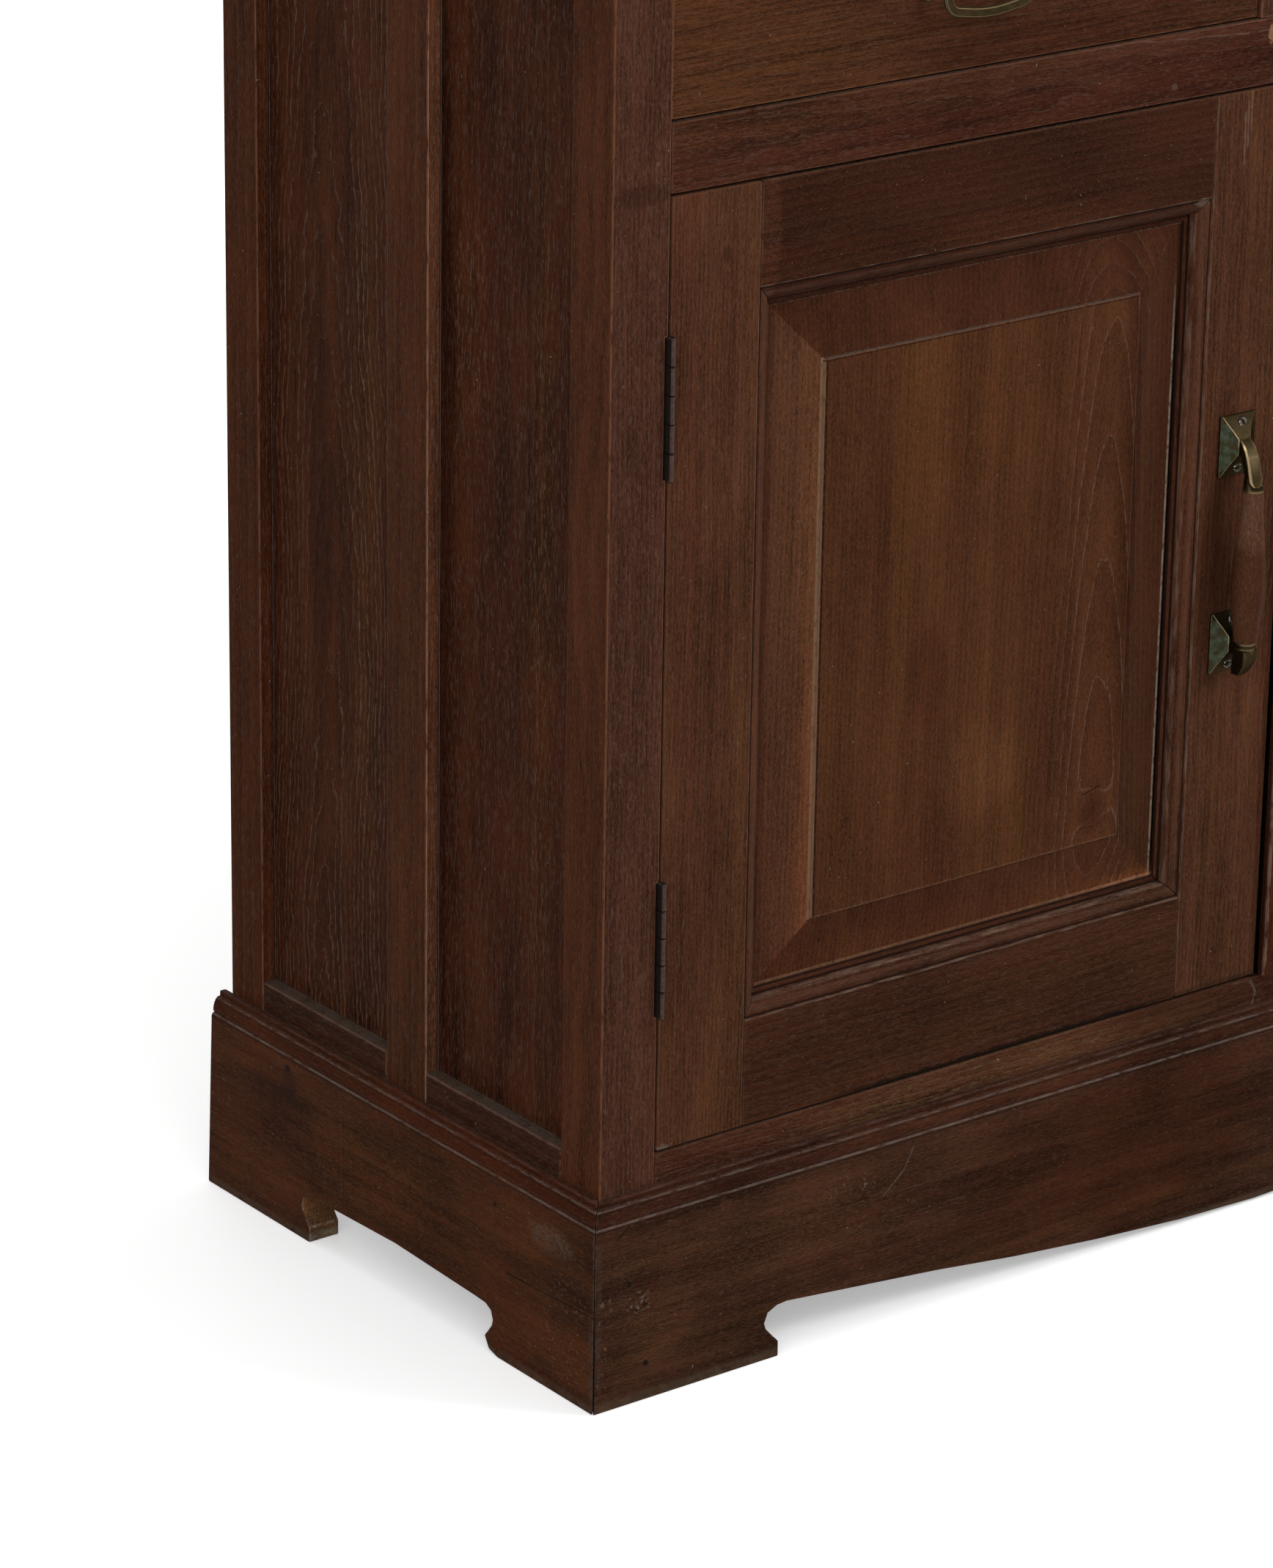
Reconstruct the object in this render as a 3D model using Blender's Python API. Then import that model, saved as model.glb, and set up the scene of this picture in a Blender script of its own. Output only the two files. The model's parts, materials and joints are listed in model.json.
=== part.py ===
"""Low teak cupboard: two drawers over two panelled doors, on a moulded plinth with bracket feet.

Metres, +Z up. X runs along the front, +Y to the back. The origin is on the floor, under the middle of the
outer box. Timber sizes are finished sizes. FIT is the gap left between pieces that touch.
"""
import math

import bmesh
import bpy
from mathutils import Matrix, Vector

# Gaps and shared workshop sizes
FIT = 0.0003
OVERRUN = 0.002
FRAME_THICKNESS = 0.022
TENON_THICKNESS = 0.008
TENON_LENGTH = 0.016
TENON_SHOULDER = 0.006
SIDE_TENON_LENGTH = 0.012
BOARD_REST = 0.008

# Carcase
BODY_WIDTH = 0.922
BODY_DEPTH = 0.3455
BASE_RAIL_HEIGHT = 0.0282
DOOR_OPENING_HEIGHT = 0.5182
DRAWER_RAIL_HEIGHT = 0.0362
DRAWER_OPENING_HEIGHT = 0.120
TOP_RAIL_HEIGHT = 0.028
POST_WIDTH = 0.036
FRONT_POST_DEPTH = 0.034
BACK_POST_DEPTH = 0.0315
DIVIDER_WIDTH = 0.066
DIVIDER_TENON = 0.010

# Carcase sides
MUNTIN_WIDTH = 0.0365
MUNTIN_FROM_FRONT = 0.157
SIDE_TOP_RAIL_HEIGHT = 0.045
SIDE_PANEL_RECESS = 0.0095
SIDE_PANEL_THICKNESS = 0.007
SIDE_TONGUE = 0.006
HOUSING_DEPTH = 0.0035

# Boards
TOP_THICKNESS = 0.022
TOP_OVERHANG = 0.026
REAR_OVERHANG = 0.006
BOTTOM_BOARD_THICKNESS = 0.014
SHELF_THICKNESS = 0.015
SHELF_CLEAR_HEIGHT = 0.255
SHELF_SETBACK = 0.026
DUST_BOARD_THICKNESS = 0.010
GUIDE_HEIGHT = 0.018
BACK_THICKNESS = 0.008
BACK_LAP = 0.008
BACK_GROOVE_WIDTH = 0.003
BACK_GROOVE_DEPTH = 0.002
BACK_BOARD_COUNT = 7

# Plinth
PLINTH_HEIGHT = 0.1065
PLINTH_REACH = 0.010
PLINTH_THICKNESS = 0.020
PLINTH_EDGE_ROUND = 0.002
PLINTH_REAR_LEAN = 0.0055
MOULDING_HEIGHT = 0.012
MOULDING_LEDGE = 0.0045
MOULDING_BAND = 0.003
MOULDING_STEP = 0.0006
MOULDING_QUIRK = 0.0006
FRONT_FOOT_LENGTH = 0.1245
SIDE_FOOT_LENGTH = 0.098
REAR_FOOT_LENGTH = 0.097
FOOT_TOE_HEIGHT = 0.009
FRONT_NOTCH_REACH = 0.0098
SIDE_NOTCH_REACH = 0.0074
WORN_TOE_LENGTH = 0.012
APRON_CLEARANCE = 0.031
SIDE_APRON_DIP = 0.0025
CENTRE_CLEARANCE = 0.0015

# Doors
DOOR_THICKNESS = 0.020
DOOR_GAP = 0.0012
DOOR_END_GAP = 0.0015
MEETING_GAP = 0.0014
HINGE_STILE_WIDTH = 0.0566
MEETING_STILE_WIDTH = 0.0600
DOOR_TOP_RAIL_WIDTH = 0.0553
DOOR_BOTTOM_RAIL_WIDTH = 0.0605
DOOR_MOULDING_WIDTH = 0.013
DOOR_MOULDING_STEP = 0.0012
DOOR_MOULDING_LAND = 0.0012
DOOR_OVOLO_WIDTH = 0.0075
DOOR_OVOLO_DROP = 0.0055
DOOR_MOULDING_DEPTH = 0.0085
DOOR_TONGUE = 0.006
DOOR_TONGUE_THICKNESS = 0.005
DOOR_TONGUE_DEPTH = 0.0105
DOOR_TENON_LENGTH = 0.030
PANEL_BEVEL_WIDTH = 0.033
FIELD_STEP = 0.0015
FIELD_DEPTH = 0.003
BEAD_WIDTH = 0.014
BEAD_REACH = 0.006
BEAD_ROUND = 0.002

# Butt hinges
HINGE_LENGTH = 0.074
HINGE_KNUCKLES = 5
HINGE_FROM_TOP = 0.109
HINGE_FROM_BOTTOM = 0.114
LEAF_THICKNESS = 0.0014
LEAF_DEPTH = 0.016
BARREL_RADIUS = 0.0024
BARREL_STANDOFF = 0.0027
PIN_RADIUS = 0.0013
FINIAL_RADIUS = 0.0019
FINIAL_LENGTH = 0.001

# Door pulls
PULL_FROM_EDGE = 0.0343
PULL_STANDOFF = 0.015
PULL_FROM_BOTTOM = 0.2065
PULL_SPACING = 0.1126
PLATE_WIDTH = 0.0235
PLATE_HEIGHT = 0.034
PLATE_THICKNESS = 0.0016
BOSS_WIDTH = 0.0085
BOSS_HEIGHT = 0.010
BOSS_REACH = 0.0075
ARM_ROOT_WIDTH = 0.0088
ARM_TONGUE_WIDTH = 0.0112
ARM_THICKNESS = 0.0050
ARM_RISE = 0.0045
ARM_DIP = 0.0070
FERRULE_RADIUS = 0.0064
FERRULE_HEIGHT = 0.007
SOCKET_RADIUS = 0.0044
SOCKET_DEPTH = 0.0045
GRIP_TOP_DROP = 0.0230
GRIP_FOOT_RISE = 0.0032
GRIP_TOP_RADIUS = 0.0059
GRIP_BELLY_RADIUS = 0.0096
GRIP_FOOT_RADIUS = 0.0068

# Drawers
DRAWER_GAP = 0.001
DRAWER_SETBACK = 0.002
DRAWER_FRONT_THICKNESS = 0.018
DRAWER_LAP = 0.008
DRAWER_SIDE_THICKNESS = 0.009
DRAWER_SIDE_HEIGHT = 0.098
DRAWER_REAR_ROOM = 0.0125
DRAWER_BOTTOM_THICKNESS = 0.005
DRAWER_BOTTOM_LIFT = 0.008
DRAWER_BOTTOM_TONGUE = 0.005

# Drawer handles
BAIL_HALF_WIDTH = 0.0278
BAIL_DROP = 0.0280
BAIL_SAG = 0.0022
BAIL_CORNER_RADIUS = 0.008
BAIL_STRAP_WIDTH = 0.0058
BAIL_STRAP_THICKNESS = 0.0026
BAIL_AXIS_REACH = 0.0105
BAIL_PIN_RADIUS = 0.0014
EYE_RADIUS = 0.0034
EYE_STEM_RADIUS = 0.0024
LOBE_HALF_WIDTH = 0.010
LOBE_HALF_HEIGHT = 0.021
BACKPLATE_THICKNESS = 0.0015
BRIDGE_HEIGHT = 0.011

# Finish counts
ROUND_SIDES = 16
SMALL_ROUND_SIDES = 12
ARC_STEPS = 5
SMOOTH_ANGLE = math.radians(35)

# Shares along a foot notch: outward as shares of the notch reach, up as shares of the apron's rise
NOTCH_OUT_SHARES = (0.36, 0.88, 1.0, 0.77, 0.15)
NOTCH_UP_SHARES = (0.16, 0.42, 0.59, 0.84, 0.97)
# Shares of the way from foot to middle, and of the height left there, along the front apron
APRON_WAY_SHARES = (0.0, 0.18, 0.31, 0.47, 0.65, 0.83, 1.0)
APRON_HEIGHT_SHARES = (1.0, 0.79, 0.64, 0.41, 0.21, 0.06, 0.0)
# Shares along the grip from its top, and how far its radius has gone to the belly, then to the foot
GRIP_UPPER_SHARES = ((0.0, 0.0), (0.12, 0.06), (0.25, 0.30), (0.38, 0.62), (0.50, 0.88), (0.62, 1.0))
GRIP_LOWER_SHARES = ((0.74, 0.12), (0.86, 0.58), (0.95, 0.95), (1.0, 1.0))

# The rounded section of a flat strap as shares of half its width and half its thickness
STRAP_SHARES = ((-1, -0.4), (-0.7, -1), (0.7, -1), (1, -0.4), (1, 0.4), (0.7, 1), (-0.7, 1), (-1, 0.4))

# Places worked out from the sizes above
FRONT_Y = (TOP_OVERHANG - BODY_DEPTH - REAR_OVERHANG - PLINTH_REAR_LEAN) / 2
BASE_Z = PLINTH_HEIGHT + FIT
RAIL_TOP_Z = BASE_Z + BASE_RAIL_HEIGHT
DOOR_TOP_Z = RAIL_TOP_Z + DOOR_OPENING_HEIGHT
DRAWER_FLOOR_Z = DOOR_TOP_Z + DRAWER_RAIL_HEIGHT
DRAWER_TOP_Z = DRAWER_FLOOR_Z + DRAWER_OPENING_HEIGHT
CARCASE_TOP_Z = DRAWER_TOP_Z + TOP_RAIL_HEIGHT
PANEL_TOP_Z = CARCASE_TOP_Z - SIDE_TOP_RAIL_HEIGHT
BACK_POST_FRONT = BODY_DEPTH - BACK_POST_DEPTH
MUNTIN_BACK = MUNTIN_FROM_FRONT + MUNTIN_WIDTH
BACK_FACE = BODY_DEPTH - BACK_THICKNESS
HINGE_EDGE = POST_WIDTH + DOOR_GAP
DOOR_WIDTH = BODY_WIDTH / 2 - MEETING_GAP / 2 - HINGE_EDGE
DOOR_LOW_Z = RAIL_TOP_Z + DOOR_END_GAP
DOOR_HIGH_Z = DOOR_TOP_Z - DOOR_END_GAP
PULL_LOWER_HEIGHT = DOOR_LOW_Z + PULL_FROM_BOTTOM
PULL_UPPER_HEIGHT = PULL_LOWER_HEIGHT + PULL_SPACING
GRIP_TOP_HEIGHT = PULL_UPPER_HEIGHT - GRIP_TOP_DROP
GRIP_BOTTOM_HEIGHT = PULL_LOWER_HEIGHT + GRIP_FOOT_RISE
SHELF_Z = RAIL_TOP_Z + SHELF_CLEAR_HEIGHT
DRAWER_OUTER = POST_WIDTH + DRAWER_GAP
DRAWER_INNER = BODY_WIDTH / 2 - DIVIDER_WIDTH / 2 - DRAWER_GAP
DRAWER_MIDDLE_Z = (DRAWER_FLOOR_Z + DRAWER_TOP_Z) / 2
DRAWER_FRONT_BACK = DRAWER_SETBACK + DRAWER_FRONT_THICKNESS
DRAWER_BOX_END = BACK_FACE - DRAWER_REAR_ROOM
HANDLE_INSET = (DRAWER_OUTER + DRAWER_INNER) / 2
POST_SPACING = BAIL_HALF_WIDTH + BAIL_STRAP_WIDTH / 2 + FIT + EYE_RADIUS
LOBE_SPACING = POST_SPACING - EYE_RADIUS / 2

LEFT, RIGHT = -1, 1
SIDE_NAMES = {LEFT: "left", RIGHT: "right"}

COLOURS = {
    "frame_teak": ((0.105, 0.052, 0.034), 0.55, 0.0),
    "side_teak": ((0.095, 0.050, 0.033), 0.58, 0.0),
    "door_teak": ((0.118, 0.062, 0.040), 0.50, 0.0),
    "panel_teak": ((0.135, 0.072, 0.044), 0.48, 0.0),
    "drawer_teak": ((0.135, 0.075, 0.045), 0.52, 0.0),
    "plinth_teak": ((0.098, 0.050, 0.032), 0.55, 0.0),
    "inner_teak": ((0.150, 0.092, 0.058), 0.70, 0.0),
    "grip_teak": ((0.150, 0.080, 0.052), 0.42, 0.0),
    "aged_brass": ((0.330, 0.240, 0.110), 0.38, 1.0),
    "dark_steel": ((0.120, 0.110, 0.105), 0.45, 1.0),
}


def clear_scene():
    for item in list(bpy.data.objects):
        bpy.data.objects.remove(item, do_unlink=True)


def make_materials():
    """One Principled material for each finish."""
    made = {}
    for name, (colour, roughness, metallic) in COLOURS.items():
        material = bpy.data.materials.new(name)
        material.use_nodes = True
        shader = material.node_tree.nodes["Principled BSDF"]
        shader.inputs["Base Color"].default_value = (*colour, 1.0)
        shader.inputs["Roughness"].default_value = roughness
        shader.inputs["Metallic"].default_value = metallic
        material.diffuse_color = (*colour, 1.0)
        made[name] = material
    return made


# Places in the cabinet


def from_side(side, inset, depth, height):
    """A point given by its distance in from a side face and back from the front face."""
    return Vector((side * (BODY_WIDTH / 2 - inset), FRONT_Y + depth, height))


def from_middle(across, depth, height):
    """A point given by its place across the front and back from the front face."""
    return Vector((across, FRONT_Y + depth, height))


# Solids


def solid(rings):
    """A closed solid through rings of points of equal count, capped at both ends."""
    shape = bmesh.new()
    rows = [[shape.verts.new(point) for point in ring] for ring in rings]
    count = len(rows[0])
    for low, high in zip(rows, rows[1:]):
        for i in range(count):
            j = (i + 1) % count
            shape.faces.new((low[i], low[j], high[j], high[i]))
    shape.faces.new(list(reversed(rows[0])))
    shape.faces.new(rows[-1])
    bmesh.ops.recalc_face_normals(shape, faces=shape.faces)
    return shape


def block(corner, opposite):
    """A box between two opposite corners."""
    low = [min(a, b) for a, b in zip(corner, opposite)]
    high = [max(a, b) for a, b in zip(corner, opposite)]
    rings = []
    for z in (low[2], high[2]):
        plan = ((low[0], low[1]), (high[0], low[1]), (high[0], high[1]), (low[0], high[1]))
        rings.append([(x, y, z) for x, y in plan])
    return solid(rings)


def side_block(side, insets, depths, heights):
    """A box given by ranges of inset, depth and height on one side."""
    return block(from_side(side, insets[0], depths[0], heights[0]),
                 from_side(side, insets[1], depths[1], heights[1]))


def middle_block(across, depths, heights):
    """A box given by ranges across the front, of depth and of height."""
    return block(from_middle(across[0], depths[0], heights[0]),
                 from_middle(across[1], depths[1], heights[1]))


def swept(outline, start, travel):
    """An outline of points moved along a straight travel."""
    first = [Vector(point) + start for point in outline]
    return solid([first, [point + travel for point in first]])


def rod(start, end, radius, sides, end_radius=None):
    """A round rod between two points."""
    start, end = Vector(start), Vector(end)
    turn = (end - start).to_track_quat("Z", "Y").to_matrix()
    rings = []
    for centre, size in ((start, radius), (end, radius if end_radius is None else end_radius)):
        ring = []
        for i in range(sides):
            angle = math.tau * (i + 0.5) / sides
            ring.append(centre + turn @ Vector((size * math.cos(angle), size * math.sin(angle), 0)))
        rings.append(ring)
    return solid(rings)


def turned(axis_point, profile, sides):
    """A round piece about a vertical axis, from pairs of radius and height, low to high."""
    rings = []
    for radius, height in profile:
        ring = []
        for i in range(sides):
            angle = math.tau * (i + 0.5) / sides
            ring.append(Vector((axis_point.x + radius * math.cos(angle),
                                axis_point.y + radius * math.sin(angle), height)))
        rings.append(ring)
    return solid(rings)


def mesh_object(name, shape):
    mesh = bpy.data.meshes.new(name)
    shape.to_mesh(mesh)
    shape.free()
    item = bpy.data.objects.new(name, mesh)
    bpy.context.scene.collection.objects.link(item)
    return item


def combine(item, shape, operation):
    """Joins a second solid to an object or cuts it away, and keeps the result as its mesh."""
    tool = mesh_object("tool", shape)
    modifier = item.modifiers.new("combine", "BOOLEAN")
    modifier.operation = operation
    modifier.solver = "EXACT"
    modifier.object = tool
    view = bpy.context.evaluated_depsgraph_get()
    result = bpy.data.meshes.new_from_object(item.evaluated_get(view))
    item.modifiers.clear()
    worn_out = item.data
    item.data = result
    bpy.data.meshes.remove(worn_out)
    bpy.data.objects.remove(tool, do_unlink=True)


def tidy(item):
    """Merges points that a cut left on top of each other and turns all faces out."""
    shape = bmesh.new()
    shape.from_mesh(item.data)
    bmesh.ops.remove_doubles(shape, verts=shape.verts, dist=FIT / 50)
    bmesh.ops.dissolve_degenerate(shape, edges=shape.edges, dist=FIT / 50)
    bmesh.ops.recalc_face_normals(shape, faces=shape.faces)
    shape.to_mesh(item.data)
    shape.free()


def piece(name, shape, material, joins=(), cuts=(), pivot=None, smooth=False):
    """One finished sub-part, with its origin at its middle, hung on a pivot if it moves."""
    item = mesh_object(name, shape)
    for other in joins:
        combine(item, other, "UNION")
    for other in cuts:
        combine(item, other, "DIFFERENCE")
    tidy(item)
    item.data.materials.clear()
    item.data.materials.append(MATERIALS[material])
    middle = sum((Vector(corner) for corner in item.bound_box), Vector()) / 8
    item.data.transform(Matrix.Translation(-middle))
    item.location = middle
    if pivot is not None:
        item.parent = pivot
        item.location = middle - place_of(pivot)
    if smooth:
        item.data.shade_smooth()
        item.data.set_sharp_from_angle(angle=SMOOTH_ANGLE)
    return item


def place_of(pivot):
    """Where a pivot lies in the cabinet, through the pivots it hangs on."""
    place = Vector(pivot.location)
    while pivot.parent is not None:
        pivot = pivot.parent
        place += pivot.location
    return place


def pivot_at(name, place, parent=None):
    """An empty on a joint's axis."""
    empty = bpy.data.objects.new(name, None)
    empty.empty_display_size = POST_WIDTH
    bpy.context.scene.collection.objects.link(empty)
    empty.location = place
    if parent is not None:
        empty.parent = parent
        empty.location = place - place_of(parent)
    return empty


def grown(span, amount):
    return (span[0] - amount, span[1] + amount)


# Carcase joints: the same spans make each tenon and the mortise around it


def tenon_heights(rail_heights):
    return (rail_heights[0] + TENON_SHOULDER, rail_heights[1] - TENON_SHOULDER)


def middle_of(thickness):
    """The span of a tenon in the middle of a thickness."""
    return ((thickness - TENON_THICKNESS) / 2, (thickness + TENON_THICKNESS) / 2)


FRONT_RAILS = {
    "bottom_rail": (BASE_Z, RAIL_TOP_Z),
    "drawer_rail": (DOOR_TOP_Z, DRAWER_FLOOR_Z),
    "top_rail": (DRAWER_TOP_Z, CARCASE_TOP_Z),
}
SIDE_RAILS = {
    "side_bottom_rail": (BASE_Z, RAIL_TOP_Z),
    "side_top_rail": (PANEL_TOP_Z, CARCASE_TOP_Z),
}
PANEL_SLOT = (SIDE_PANEL_RECESS - FIT, SIDE_PANEL_RECESS + SIDE_PANEL_THICKNESS + FIT)
PANEL_HEIGHTS = (RAIL_TOP_Z - SIDE_TONGUE, PANEL_TOP_Z + SIDE_TONGUE)


def front_mortise(side, heights):
    """The mortise in a front post for a front rail."""
    depths = grown(middle_of(FRAME_THICKNESS), FIT)
    insets = (POST_WIDTH - TENON_LENGTH - FIT, POST_WIDTH + OVERRUN)
    return side_block(side, insets, depths, grown(tenon_heights(heights), FIT))


def side_mortise(side, depths, heights):
    """The mortise in a post for a side rail."""
    insets = grown(middle_of(FRAME_THICKNESS), FIT)
    return side_block(side, insets, depths, grown(tenon_heights(heights), FIT))


def leaf_heights(place):
    """The heights between which a hinge lies: place is top or bottom."""
    if place == "top":
        middle = DOOR_HIGH_Z - HINGE_FROM_TOP
    else:
        middle = DOOR_LOW_Z + HINGE_FROM_BOTTOM
    return (middle - HINGE_LENGTH / 2, middle + HINGE_LENGTH / 2)


def post_gain(side, place):
    """The recess for a hinge leaf in a front post."""
    insets = (POST_WIDTH - LEAF_THICKNESS - FIT, POST_WIDTH + OVERRUN)
    return side_block(side, insets, (-OVERRUN, LEAF_DEPTH + FIT), grown(leaf_heights(place), FIT))


def make_front_post(side):
    shape = side_block(side, (0, POST_WIDTH), (0, FRONT_POST_DEPTH), (BASE_Z, CARCASE_TOP_Z - FIT))
    cuts = [front_mortise(side, heights) for heights in FRONT_RAILS.values()]
    reach = (FRONT_POST_DEPTH - SIDE_TENON_LENGTH - FIT, FRONT_POST_DEPTH + OVERRUN)
    cuts += [side_mortise(side, reach, heights) for heights in SIDE_RAILS.values()]
    slot = (FRONT_POST_DEPTH - SIDE_TONGUE - FIT, FRONT_POST_DEPTH + OVERRUN)
    cuts.append(side_block(side, PANEL_SLOT, slot, grown(PANEL_HEIGHTS, FIT)))
    cuts += [post_gain(side, place) for place in ("top", "bottom")]
    piece("front_post_" + SIDE_NAMES[side], shape, "frame_teak", cuts=cuts)


def make_back_post(side):
    shape = side_block(side, (0, POST_WIDTH), (BACK_POST_FRONT, BODY_DEPTH), (BASE_Z, CARCASE_TOP_Z - FIT))
    reach = (BACK_POST_FRONT - OVERRUN, BACK_POST_FRONT + SIDE_TENON_LENGTH + FIT)
    cuts = [side_mortise(side, reach, heights) for heights in SIDE_RAILS.values()]
    slot = (BACK_POST_FRONT - OVERRUN, BACK_POST_FRONT + SIDE_TONGUE + FIT)
    cuts.append(side_block(side, PANEL_SLOT, slot, grown(PANEL_HEIGHTS, FIT)))
    rebate = (POST_WIDTH - BACK_LAP, POST_WIDTH + OVERRUN)
    cuts.append(side_block(side, rebate, (BACK_FACE - FIT, BODY_DEPTH + OVERRUN),
                           (BASE_Z - OVERRUN, CARCASE_TOP_Z + OVERRUN)))
    piece("back_post_" + SIDE_NAMES[side], shape, "frame_teak", cuts=cuts)


# Carcase sides


def make_side_rail(side, name):
    """A side rail: tenoned into both posts, half cut away where the muntin laps it."""
    heights = SIDE_RAILS[name]
    top = heights[1] - FIT if name == "side_top_rail" else heights[1]
    ends = grown((FRONT_POST_DEPTH, BACK_POST_FRONT), -FIT)
    shape = side_block(side, (0, FRAME_THICKNESS), ends, (heights[0], top))
    tenon_ends = grown(ends, SIDE_TENON_LENGTH)
    tenon = side_block(side, middle_of(FRAME_THICKNESS), tenon_ends, tenon_heights(heights))
    lap = side_block(side, (-OVERRUN, FRAME_THICKNESS / 2 + FIT),
                     grown((MUNTIN_FROM_FRONT, MUNTIN_BACK), FIT), grown(heights, OVERRUN))
    slot = (PANEL_HEIGHTS[0] - FIT, heights[1] + OVERRUN)
    if name == "side_top_rail":
        slot = (heights[0] - OVERRUN, PANEL_HEIGHTS[1] + FIT)
    groove = side_block(side, PANEL_SLOT, grown(ends, OVERRUN), slot)
    cuts = [groove, lap]
    if name == "side_bottom_rail":
        cuts.append(side_block(side, (FRAME_THICKNESS - BOARD_REST / 2, FRAME_THICKNESS + OVERRUN),
                               grown(ends, OVERRUN + TENON_LENGTH),
                               (RAIL_TOP_Z - BOTTOM_BOARD_THICKNESS - FIT, RAIL_TOP_Z + OVERRUN)))
    piece(name + "_" + SIDE_NAMES[side], shape, "side_teak", joins=[tenon], cuts=cuts)


def make_muntin(side):
    """The upright between the side panels: full height, halved over both rails."""
    width = (MUNTIN_FROM_FRONT, MUNTIN_BACK)
    shape = side_block(side, (0, FRAME_THICKNESS), width, (BASE_Z, CARCASE_TOP_Z - FIT))
    behind = (FRAME_THICKNESS / 2, FRAME_THICKNESS + OVERRUN)
    cuts = []
    for low, high in ((BASE_Z - OVERRUN, RAIL_TOP_Z + FIT), (PANEL_TOP_Z - FIT, CARCASE_TOP_Z + OVERRUN)):
        cuts.append(side_block(side, behind, grown(width, OVERRUN), (low, high)))
    groove_heights = grown(PANEL_HEIGHTS, FIT)
    for near, far in ((width[0] - OVERRUN, width[0] + SIDE_TONGUE + FIT),
                      (width[1] - SIDE_TONGUE - FIT, width[1] + OVERRUN)):
        cuts.append(side_block(side, PANEL_SLOT, (near, far), groove_heights))
    dust_board_heights = (DRAWER_FLOOR_Z - DUST_BOARD_THICKNESS, DRAWER_FLOOR_Z)
    for heights in ((SHELF_Z, SHELF_Z + SHELF_THICKNESS), dust_board_heights):
        cuts.append(side_block(side, (FRAME_THICKNESS - HOUSING_DEPTH - FIT, FRAME_THICKNESS + OVERRUN),
                               grown(width, OVERRUN), grown(heights, FIT)))
    piece("side_muntin_" + SIDE_NAMES[side], shape, "side_teak", cuts=cuts)


def make_side_panel(side, place, depths):
    shape = side_block(side, (SIDE_PANEL_RECESS, SIDE_PANEL_RECESS + SIDE_PANEL_THICKNESS),
                       grown(depths, SIDE_TONGUE), PANEL_HEIGHTS)
    piece("side_panel_" + place + "_" + SIDE_NAMES[side], shape, "side_teak")


# Front frame


def make_front_rail(name):
    """A front rail: tenoned into both posts, rebated where a board rests on it."""
    heights = FRONT_RAILS[name]
    top = heights[1] - FIT if name == "top_rail" else heights[1]
    half = BODY_WIDTH / 2 - POST_WIDTH - FIT
    shape = middle_block((-half, half), (0, FRAME_THICKNESS), (heights[0], top))
    reach = half + TENON_LENGTH
    tenon = middle_block((-reach, reach), middle_of(FRAME_THICKNESS), tenon_heights(heights))
    rest = (FRAME_THICKNESS - BOARD_REST, FRAME_THICKNESS + OVERRUN)
    thickness = {"bottom_rail": BOTTOM_BOARD_THICKNESS, "drawer_rail": DUST_BOARD_THICKNESS}.get(name)
    cuts = []
    if thickness is not None:
        cuts.append(middle_block((-half - OVERRUN, half + OVERRUN), rest,
                                 (heights[1] - thickness - FIT, heights[1] + OVERRUN)))
    if name != "bottom_rail":
        cuts.append(divider_mortise(heights, name == "top_rail"))
    piece(name, shape, "frame_teak", joins=[tenon], cuts=cuts)


def divider_tenon_width():
    return (-DIVIDER_WIDTH / 2 + TENON_SHOULDER, DIVIDER_WIDTH / 2 - TENON_SHOULDER)


def divider_tenon_depths():
    """The span of the divider's tenons, in front of the rail's own rebate."""
    return (TENON_SHOULDER / 2, TENON_SHOULDER / 2 + TENON_THICKNESS)


def divider_mortise(heights, above):
    if above:
        span = (heights[0] - OVERRUN, heights[0] + DIVIDER_TENON + FIT)
    else:
        span = (heights[1] - DIVIDER_TENON - FIT, heights[1] + OVERRUN)
    return middle_block(grown(divider_tenon_width(), FIT), grown(divider_tenon_depths(), FIT), span)


def make_divider():
    """The upright between the drawers."""
    half = DIVIDER_WIDTH / 2
    heights = grown((DRAWER_FLOOR_Z, DRAWER_TOP_Z), -FIT)
    shape = middle_block((-half, half), (0, FRAME_THICKNESS), heights)
    tenon = middle_block(divider_tenon_width(), divider_tenon_depths(), grown(heights, DIVIDER_TENON))
    piece("drawer_divider", shape, "frame_teak", joins=[tenon])


# Boards


def notched_board(front, heights, edge_inset, with_tabs):
    """A board from side to side, cut out round the four posts, with tabs into the muntins."""
    outline = []
    for side in (LEFT, RIGHT):
        half = [(POST_WIDTH + FIT, front)]
        if front < FRONT_POST_DEPTH:
            half += [(POST_WIDTH + FIT, FRONT_POST_DEPTH + FIT), (edge_inset, FRONT_POST_DEPTH + FIT)]
        if with_tabs:
            tab = edge_inset - FIT - HOUSING_DEPTH
            half += [(edge_inset, MUNTIN_FROM_FRONT), (tab, MUNTIN_FROM_FRONT)]
            half += [(tab, MUNTIN_BACK), (edge_inset, MUNTIN_BACK)]
        half += [(edge_inset, BACK_POST_FRONT - FIT), (POST_WIDTH + FIT, BACK_POST_FRONT - FIT)]
        half += [(POST_WIDTH + FIT, BACK_FACE - FIT)]
        points = [from_side(side, inset, depth, heights[0]) for inset, depth in half]
        outline += points if side == LEFT else list(reversed(points))
    return swept(outline, Vector(), Vector((0, 0, heights[1] - heights[0])))


def make_bottom_board():
    heights = (RAIL_TOP_Z - BOTTOM_BOARD_THICKNESS, RAIL_TOP_Z)
    front = FRAME_THICKNESS - BOARD_REST + FIT
    edge = FRAME_THICKNESS - BOARD_REST / 2 + FIT
    piece("bottom_board", notched_board(front, heights, edge, False), "inner_teak")


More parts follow.
